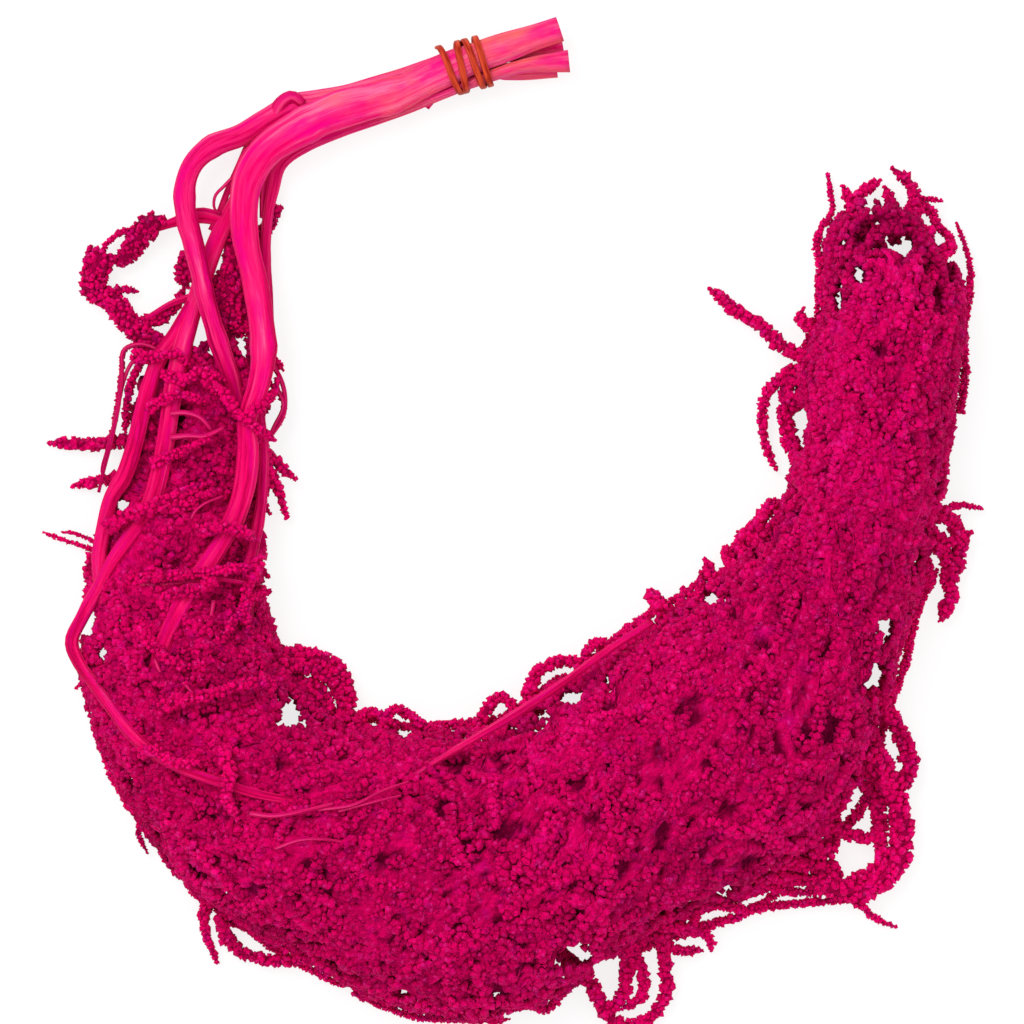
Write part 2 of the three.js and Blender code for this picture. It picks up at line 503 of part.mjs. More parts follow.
// The sprays. One in the mass is packed between two stations and two turns over the hook, and its
// strands are tassels that leave it by a route of their own. The last two are strands alone.
const SPRAYS = {
  spray_shoulder: {
    packed: { span: [0, 1.7], turns: [0, 1], seed: 1 },
    strands: [
      strand(2.7, 0.5, [62, 174, 9], [52, 176, 6], [40, 177.5, 3.6], [30, 177.5, 3], [19.5, 177.2, 2.4]),
      strand(
        1.2, 0.9,
        [64, 144, 7], [54, 138, 7], [49, 141, 7],
        [48.4, 150, 6.5], [46.6, 162, 6.5], [44, 176, 6],
      ),
      strand(1.2, 0.9, [103, 150, 6], [110, 155, 7], [113.4, 162, 7], [111, 170, 7], [104, 177, 7]),
      strand(2.3, 0.7, [102, 140, 6], [108, 143, 5], [112.8, 147.5, 4.5]),
    ],
  },
  spray_left: {
    packed: { span: [1.7, 3.3], turns: [0, 1], seed: 2 },
    strands: [
      strand(2.7, 0.5, [58, 192, 9], [48, 191.5, 6], [38, 192.5, 3.8], [29, 194.4, 2.6]),
      strand(3, 0.3, [90, 196, 9], [106, 187, 9], [113, 188, 8], [118.6, 192, 6]),
      strand(2.6, 0.3, [90, 198, 9], [109, 191, 9], [113.6, 198, 6.5], [115.4, 207, 4.5]),
      strand(1.9, 0.4, [92, 200, 8], [104, 200, 7.5], [107.6, 205.5, 6]),
      strand(1.3, 0.6, [48, 223, 8], [34, 219, 4.5], [25, 216, 3], [17, 213, 2]),
      strand(1.3, 0.6, [48, 219, 8], [37, 216.5, 5], [30, 213.5, 4], [24.5, 213, 3]),
      strand(2.6, 0.6, [92, 218, 9], [103, 226, 7], [107, 230.5, 5.5]),
      strand(3.6, 0.8, [46, 216, 9], [38.5, 223, 7], [36.5, 230, 6], [40, 240, 8]),
    ],
  },
  spray_corner_outer: {
    packed: { span: [3.3, 5.2], turns: [0, 0.5], seed: 3 },
    strands: [
      strand(1.7, 0.5, [42, 268, 10], [34, 272, 6], [30, 275.5, 4]),
      strand(1.6, 0.5, [58, 322, 9], [55, 333, 5.5], [58.5, 341.5, 3.5]),
    ],
  },
  spray_corner_inner: {
    packed: { span: [3.3, 5.2], turns: [0.5, 1], seed: 4 },
    strands: [
      strand(
        3.7, 0.8,
        [98, 262, 12], [108, 261.5, 8], [116, 261, 6], [127, 262, 5.5],
        [135.5, 266, 5.5], [140.4, 275, 6], [140, 284, 7], [134, 292, 12],
      ),
      strand(3.5, 0.8, [104, 278, 13], [113, 274.5, 8], [123, 274, 6.5], [130.5, 280, 7], [129, 290, 12]),
    ],
  },
  spray_belly_outer_1: {
    packed: { span: [5.2, 7.8], turns: [0, 0.37], seed: 5 },
    strands: [
      strand(2.9, 0.35, [88, 350, 12], [82, 362, 7], [82, 373, 4.5], [86.4, 385.5, 3]),
      strand(2.8, 0.7, [88, 366, 10], [91, 376, 6], [98, 382, 5], [108, 384.5, 5], [122, 385, 8]),
    ],
  },
  spray_belly_middle_1: {
    packed: { span: [5.2, 7.6], turns: [0.37, 0.63], seed: 6 },
    strands: [],
  },
  spray_belly_inner_1: {
    packed: { span: [5.2, 8.3], turns: [0.63, 1], seed: 7 },
    strands: [
      strand(2.4, 0.8, [140, 293, 13], [148, 285, 8], [158, 290, 11]),
      strand(2.2, 0.8, [153, 292, 12], [157, 284, 7.5], [163, 286, 7.5], [172, 292, 11]),
      strand(2.4, 0.8, [189, 295, 13], [195.5, 283, 8], [199.5, 278.5, 7], [204.5, 281.5, 8], [207, 290, 12]),
    ],
  },
  spray_belly_outer_2: {
    packed: { span: [7.8, 10.3], turns: [0, 0.37], seed: 8 },
    strands: [
      strand(3, 0.7, [262, 366, 12], [265.5, 380, 6], [266.8, 392, 5], [265, 402, 4.6], [258, 409, 4.4]),
      strand(3, 0.8, [248, 370, 12], [251, 384, 6.5], [250.5, 394, 5.4], [247, 402, 5], [241, 406, 5]),
      strand(
        3, 0.8,
        [222, 380, 14], [234, 390, 7], [240, 401, 5.4],
        [246, 409, 5], [256, 411, 4.6], [262, 406, 4.6],
      ),
      strand(2.3, 0.8, [250, 374, 10], [257.6, 391, 5.4], [256, 400, 5], [249, 404, 5]),
      strand(2, 0.8, [266, 370, 10], [276, 372.5, 6], [283.5, 375, 4.5], [284.8, 381, 3.5]),
      strand(2, 0.8, [262, 374, 9], [271, 380.5, 5], [281, 380.5, 4]),
    ],
  },
  spray_belly_middle_2: {
    packed: { span: [7.6, 10.4], turns: [0.37, 0.63], seed: 9 },
    strands: [],
  },
  spray_belly_inner_2: {
    packed: { span: [8.3, 11], turns: [0.63, 1], seed: 10 },
    strands: [
      strand(2.5, 0.8, [210, 288, 14], [213, 272, 8], [219, 266, 7], [228, 264.5, 7], [238, 268, 12]),
      strand(2.2, 0.8, [232, 268, 12], [237.5, 257.8, 8], [246, 258, 11]),
    ],
  },
  spray_belly_outer_3: {
    packed: { span: [10.3, 13.2], turns: [0, 0.37], seed: 11 },
    strands: [
      strand(
        4.4, 0.9,
        [348, 300, 16], [357, 314, 9], [360.5, 328, 7], [360.5, 341, 6.5],
        [354, 351.5, 6.5], [343, 357, 7], [326, 352, 12],
      ),
      strand(3.3, 0.8, [348, 276, 14], [357, 288, 8], [362.5, 298, 6.5], [364.5, 308, 6.5], [357, 320, 9]),
      strand(2, 0.7, [361, 303, 6.5], [367.8, 303.6, 5.5]),
      strand(2.2, 0.4, [330, 352, 10], [344, 362, 5.5], [351, 368, 4], [359, 371.3, 2.8]),
    ],
  },
  spray_belly_middle_3: {
    packed: { span: [10.4, 13.2], turns: [0.37, 0.63], seed: 12 },
    strands: [],
  },
  spray_belly_inner_3: {
    packed: { span: [11, 13.2], turns: [0.63, 1], seed: 13 },
    strands: [strand(2.9, 0.9, [298, 216, 14], [306, 206, 9], [310, 200, 7])],
  },
  spray_tail_outer_1: {
    packed: { span: [13.2, 15.8], turns: [0, 0.5], seed: 14 },
    strands: [
      strand(2, 0.4, [374, 206, 12], [384, 202, 7], [393, 203.4, 4]),
      strand(
        3, 0.8,
        [372, 204, 14], [385, 209, 8], [388, 219, 6],
        [385, 230, 5.4], [383, 241, 5], [379, 248.5, 4.4],
      ),
      strand(2.4, 0.8, [374, 220, 12], [384, 215, 8], [389, 213, 7]),
    ],
  },
  spray_tail_inner_1: {
    packed: { span: [13.2, 15.4], turns: [0.5, 1], seed: 15 },
    strands: [strand(3.3, 0.8, [322, 158, 12], [314.5, 164, 7.5], [316, 176, 6.5], [322, 188, 12])],
  },
  spray_tail_outer_2: {
    packed: { span: [15.8, 19], turns: [0, 0.5], seed: 16 },
    strands: [
      strand(2.7, 0.7, [366, 92, 12], [366, 77, 7], [362.5, 71.5, 5.5], [357.6, 67.2, 4.4]),
      strand(2, 0.5, [364, 88, 10], [370, 79.5, 6.5], [376.4, 80, 5]),
      strand(1.7, 0.4, [384, 126, 10], [388.6, 110, 6], [386.4, 98, 4.5], [383, 89, 3.5]),
    ],
  },
  spray_tail_inner_2: {
    packed: { span: [15.4, 19], turns: [0.5, 1], seed: 17 },
    strands: [
      strand(
        2.8, 0.5,
        [332, 146, 14], [318, 148, 9], [308, 156, 6],
        [305, 167, 5], [306.5, 178, 4.4], [310.4, 187, 3.4],
      ),
      strand(2.8, 0.8, [328, 146, 13], [314, 139, 8], [306, 131.5, 6], [295, 124, 4.6], [284, 115.5, 3.6]),
      strand(2.1, 0.4, [342, 102, 12], [334.5, 88, 7], [332.5, 79, 5], [331.4, 69.5, 3.4]),
      strand(2.7, 0.7, [346, 96, 11], [340, 82, 6.5], [337.6, 74.5, 5]),
      strand(2.1, 0.7, [348, 92, 10], [348.5, 79, 6], [352.3, 72, 4.6]),
    ],
  },
  spray_loop: {
    strands: [
      strand(4.6, 0.7, [63, 91, 5.5], [59.5, 89.5, 6], [56, 94, 6], [52.5, 99.5, 5.4], [48, 105, 5]),
      strand(1.4, 0.9, [57, 91, 6], [47.5, 93, 5.4], [41.8, 98, 5], [39.4, 104, 5]),
      strand(5.4, 0.8, [40.5, 101, 5.4], [38.4, 107, 6], [36.6, 114, 6], [38.5, 118, 5.4]),
      strand(
        4.2, 0.9,
        [37, 116, 5.4], [45.5, 121, 5], [50, 127.5, 5],
        [56, 133, 5.5], [63, 138, 6], [70, 143, 7],
      ),
      strand(2.2, 0.9, [49, 104.5, 4.6], [44, 103.5, 4.4], [39, 105, 5]),
      strand(1.8, 0.7, [41, 118, 4.6], [48, 115.5, 4.2], [54.5, 116.4, 3.6]),
      strand(2.4, 0.8, [52, 130, 5], [60, 127.8, 4.6], [65, 126.6, 4.4], [70, 122, 4.4], [73.5, 115, 4.6]),
      strand(4, 0.8, [76, 103, 5], [73.5, 108, 5.2], [74, 114, 5]),
    ],
  },
  spray_back: {
    strands: [
      strand(4.6, 0.9, [97, 90, 5], [94, 104, 5.4], [92, 114, 5.4], [94, 126, 5.4], [96, 134, 6]),
      strand(4, 0.9, [99, 92, 5], [101, 106, 5], [100, 120, 5], [100, 134, 5.4]),
      strand(3, 0.8, [110, 82, 3.4], [106, 92, 3], [102.5, 98, 4], [100, 106, 5]),
      strand(3.4, 0.8, [93, 112, 5.4], [88, 117, 4.6], [85, 120.5, 4]),
    ],
  },
};

// Every node gives way to the ones before it, stays above the surface, and keeps its largest body.
const bunch = new THREE.Group();
const taken = [];

function addNode(name, colour, roughness, solids, rooms) {
  let solid = wasm.Manifold.union(solids);
  for (const earlier of taken) {
    solid = solid.subtract(earlier);
  }
  taken.push(wasm.Manifold.union(rooms));
  const bodies = solid.trimByPlane([0, 0, 1], 0).decompose();
  const largest = bodies.reduce((a, b) => (b.volume() > a.volume() ? b : a));
  const { vertProperties, triVerts } = largest.getMesh();
  const geometry = new THREE.BufferGeometry();
  geometry.setAttribute("position", new THREE.BufferAttribute(vertProperties, 3));
  geometry.setIndex(new THREE.BufferAttribute(triVerts, 1));
  geometry.computeVertexNormals();
  const material = new THREE.MeshStandardMaterial({ color: colour, roughness, metalness: 0 });
  const mesh = new THREE.Mesh(geometry, material);
  mesh.name = name;
  bunch.add(mesh);
}

addNode("tie_band", BAND_ORANGE, 0.6, bandSolids(0), bandSolids(CLEARANCE));
for (const [name, { colour, routes }] of Object.entries(STEMS)) {
  const solids = routes.map((route) => stemSolid(route, 0));
  addNode(name, colour, 0.7, solids, routes.map((route) => stemSolid(route, CLEARANCE)));
}
for (const [name, { packed, strands }] of Object.entries(SPRAYS)) {
  const solids = strands.map(tasselSolid);
  const rooms = strands.map(tasselRoom);
  if (packed) {
    solids.push(packedSolid(packed, 0));
    rooms.push(packedSolid(packed, CLEARANCE));
  }
  addNode(name, TASSEL_CRIMSON, 0.9, solids, rooms);
}

export default bunch;
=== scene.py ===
"""The looks of a cut and dyed bunch of hanging amaranth, tied at the stems and laid in a wide hook.

Lengths in the tables and the functions are millimetres, and they become metres when a mesh is made. Routes
are given on a plan seen from above, x to the right and y down, with z up from the surface that the bunch
lies on.
"""

import math

import bpy
import numpy as np
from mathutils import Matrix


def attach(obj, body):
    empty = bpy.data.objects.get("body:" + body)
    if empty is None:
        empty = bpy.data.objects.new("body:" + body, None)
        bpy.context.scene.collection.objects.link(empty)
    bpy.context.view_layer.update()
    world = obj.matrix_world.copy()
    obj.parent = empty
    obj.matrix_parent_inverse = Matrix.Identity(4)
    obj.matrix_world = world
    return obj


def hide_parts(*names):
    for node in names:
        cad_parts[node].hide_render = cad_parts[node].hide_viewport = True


bl_info = {
    "name": "Hanging amaranth bunch",
    "version": (1, 0, 0),
    "blender": (4, 5, 0),
    "location": "View3D > Sidebar > Amaranth",
    "description": "Builds the stems, the tie and the beaded tassels of a cut amaranth bunch",
    "category": "Object",
}

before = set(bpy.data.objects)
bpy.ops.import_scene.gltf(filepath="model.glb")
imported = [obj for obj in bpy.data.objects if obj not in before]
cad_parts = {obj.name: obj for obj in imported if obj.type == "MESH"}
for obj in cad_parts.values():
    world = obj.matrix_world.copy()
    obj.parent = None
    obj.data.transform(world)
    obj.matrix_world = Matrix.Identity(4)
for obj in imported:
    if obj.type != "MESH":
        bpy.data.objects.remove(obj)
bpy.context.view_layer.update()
MM = 0.001
# The point of the plan that lies at the row frame's origin, and the middle and width of what the camera sees.
PLAN_MIDDLE = (205.0, 210.1)
PHOTO_MIDDLE = (204.8, 204.8)
PHOTO_WIDTH = 409.6
# The height over the floor at which the view has the photograph's scale, and the width of the camera's
# sensor.
SCALE_HEIGHT = 13
SENSOR = 36
# The name of the UV maps, and what an angle is divided by to become V.
UV_NAME = "along"
UV_ROUND = 6.3
STEM_SEED = 21
# The share of a tassel at an edge that may lie in gaps, and the largest cluster of the loose sprays as a
# share of a full one.
MOST_IN_GAPS = 0.2
LOOSE_CLUSTER = 0.78

# The hook that the tassels are massed along. Each station gives the outer edge, the inner edge and the
# height.
STATIONS = [
    (57, 138, 108, 134, 12), (52, 168, 106, 168, 17), (43.5, 200, 105, 200, 23), (35, 236, 107, 236, 30),
    (31.5, 272, 115.5, 260, 36), (43.5, 313, 139, 284, 44), (71.5, 356, 153, 285.5, 48),
    (118, 387.6, 172, 287, 50), (176, 412.2, 196, 284.8, 50), (220, 406.5, 222, 269.5, 50),
    (261.5, 381, 245, 252.5, 50), (310.5, 362, 273, 232.5, 50), (346, 325, 297.5, 210, 48),
    (357, 289, 313.5, 194, 46), (367, 256.5, 317, 174, 45), (380, 218, 318, 159, 44),
    (385, 178, 315.5, 146, 42), (390, 136, 323.5, 121, 40), (390, 104, 326.5, 93, 34), (372, 73, 339, 74, 20),
]

# The routes of each stem and of its branches: x, y, z, width and thickness.
STEM_ROUTES = {
    "stem_front": [[
        (224, 11.6, 12, 10.4, 6.8), (208, 16.9, 12.2, 11.4, 7), (185.7, 24.8, 12.5, 12.4, 7),
        (175, 30, 12.7, 13, 7.2), (160, 37.2, 13, 13.6, 7.4), (148, 40.8, 13.6, 14.6, 7.4),
        (136, 44, 14.2, 15.2, 7.4), (120, 51.5, 15, 15, 7.4), (106, 61, 15.4, 13.8, 7.4),
        (99.4, 72, 15.6, 12, 7.4), (97.6, 84, 15.8, 11.4, 7.4), (98.4, 96, 16, 11, 7.2),
        (101.9, 112, 16.6, 10.6, 7), (104.4, 127, 17.6, 10.2, 7), (105.6, 142, 18.8, 10, 6.8),
        (103.4, 155, 20, 9.4, 6.5), (99.2, 168, 21.5, 7.8, 6), (99.6, 181, 23, 8.8, 6.2),
        (98, 195, 24, 9, 6.2), (94.6, 206, 24.5, 8.4, 6), (89.6, 216, 25.5, 8, 6), (84, 225, 27.5, 8, 5.8),
        (74, 240, 30.5, 8, 5.4), (66.4, 256, 32, 6.4, 4.8), (62, 268, 31, 4.4, 3.8),
    ]],
    "stem_looped": [[
        (225.2, 17.8, 5, 8, 6.2), (208, 20.6, 5, 7.4, 6.6), (184.8, 21.2, 5, 6.2, 6.4),
        (172, 26.4, 5, 7, 6.4), (156, 32.2, 5.2, 7.6, 6.4), (140, 37.1, 5.6, 8, 6.4),
        (126, 40.3, 6.2, 9.4, 6.8), (116.5, 42.5, 7.2, 11, 7.4), (107, 47.6, 8.6, 9, 6.4),
        (96.4, 54, 10.5, 9, 6.2), (85.2, 58.4, 12.4, 9, 6.2), (77.6, 65.2, 14, 9, 6),
        (74.2, 74.4, 15.4, 8.6, 6), (74.6, 86, 16.4, 8.4, 5.8), (77.4, 97, 17, 8.2, 5.6),
        (80, 108, 17.2, 8, 5.6), (82.6, 120, 17, 7.8, 5.4), (86, 132, 16.4, 7.6, 5.4),
        (89.6, 143, 15.2, 7.4, 5.2), (92.8, 152.5, 13, 7, 5), (94.6, 163, 10.5, 6.2, 5),
        (91, 178, 9.5, 5.6, 4.6), (85, 194, 9.5, 4.6, 4),
    ]],
    "stem_long": [[
        (222.8, 27, 4.6, 7.4, 6), (208, 28.4, 4.7, 6.8, 6.2), (186.6, 28, 4.9, 6.2, 6.4),
        (172, 33.8, 5, 6.6, 6.2), (150, 42, 5.2, 7, 6), (130, 50, 5.4, 7, 6), (114, 59, 5.6, 7, 6),
        (101.5, 70, 6, 7, 5.8), (93.4, 82, 6.6, 7, 5.6), (87.5, 94, 7.6, 7.2, 5.6),
        (82.5, 107, 8.4, 7.4, 5.6), (78, 121, 9.4, 7.6, 5.6), (73.8, 136, 12, 7.6, 5.4),
        (70.6, 150, 16, 7.6, 5.4), (68.5, 163, 19, 7.6, 5.4), (66.5, 177, 20.5, 7.8, 5.4),
        (64, 190, 21, 8, 5.4), (60, 203, 21.5, 7.4, 5.2), (52, 215, 21.5, 6.4, 5), (45, 225, 20, 6, 4.8),
        (39, 236, 18, 5.6, 4.6), (33, 247, 16.5, 5.4, 4.4), (28.8, 256.5, 15.5, 5.4, 4.2),
        (31.5, 264.5, 17, 5.2, 4.2), (38.5, 274, 23, 5, 4), (46, 284, 30, 5, 4), (53.5, 293, 36, 5, 4),
        (61, 299.5, 40, 4.8, 3.8), (74, 306.5, 45, 4.6, 3.8), (88, 311.5, 48, 4.2, 3.6),
        (106, 317, 49.4, 3.6, 3.2), (124, 319.5, 44.8, 2.8, 2.6), (144, 317.4, 41.6, 2.2, 2.2),
        (161, 311.5, 38.2, 2, 2.2), (176, 303, 37, 2.4, 2.4), (192, 293.5, 37.6, 3.2, 3),
        (208, 284, 35.5, 3.6, 3), (224, 273.5, 33, 3.4, 3), (240, 262, 28, 3.2, 2.8), (260, 249, 25, 3, 2.6),
    ], [
        (79.5, 117, 9, 5.4, 4.6), (71, 132, 10.5, 6, 5), (63.6, 144, 13.5, 6.6, 5), (59.8, 154, 15.5, 6.6, 5),
        (56.4, 168, 17, 6.6, 5), (53.2, 181, 17.5, 6.8, 5), (49.6, 191, 17.5, 6.8, 5),
        (44.8, 199, 17, 6.6, 5), (42, 210, 17, 6.4, 4.8), (39.8, 224, 17, 6, 4.6), (42, 240, 17, 5.8, 4.4),
        (46, 255, 18, 5, 4),
    ], [
        (90, 88, 7, 5.4, 4.4), (80, 86, 7.2, 6.8, 4.4), (70, 88.5, 7.2, 4, 3.4), (61.5, 91.5, 7, 3, 2.8),
    ], [
        (78, 118, 8.6, 3, 2.6), (68, 121.5, 7, 2.6, 2.4), (58, 127.5, 6, 2.2, 2.2),
    ]],
    "stem_inner": [[
        (227.6, 24.4, 11.6, 9, 6.6), (208, 26.6, 11, 5.6, 7.6), (187.8, 33.4, 9, 4, 8.6),
        (174, 38.6, 8.2, 4.2, 7.4), (160, 44, 7.6, 5, 6.4), (136, 51.6, 7, 6.4, 6), (121, 57.6, 6.8, 7, 6),
        (111.5, 65.4, 6.8, 6.6, 5.8), (108.8, 76, 6.8, 5.6, 5), (107, 86, 7, 4.4, 4.4),
        (106, 100, 7.4, 4.2, 4), (107, 120, 8.4, 4.4, 4), (107.4, 140, 9.6, 4.6, 4),
        (105, 156, 10.5, 4.8, 4.2), (103.5, 166, 12, 5, 4.2), (105.2, 178, 15, 5, 4.2),
        (105.2, 190, 16, 5, 4.2), (104.4, 202, 16.5, 4.8, 4), (102, 216, 17, 4.8, 4), (99.4, 230, 21, 4.8, 4),
        (99.6, 246, 23, 4, 3.6),
    ]],
}

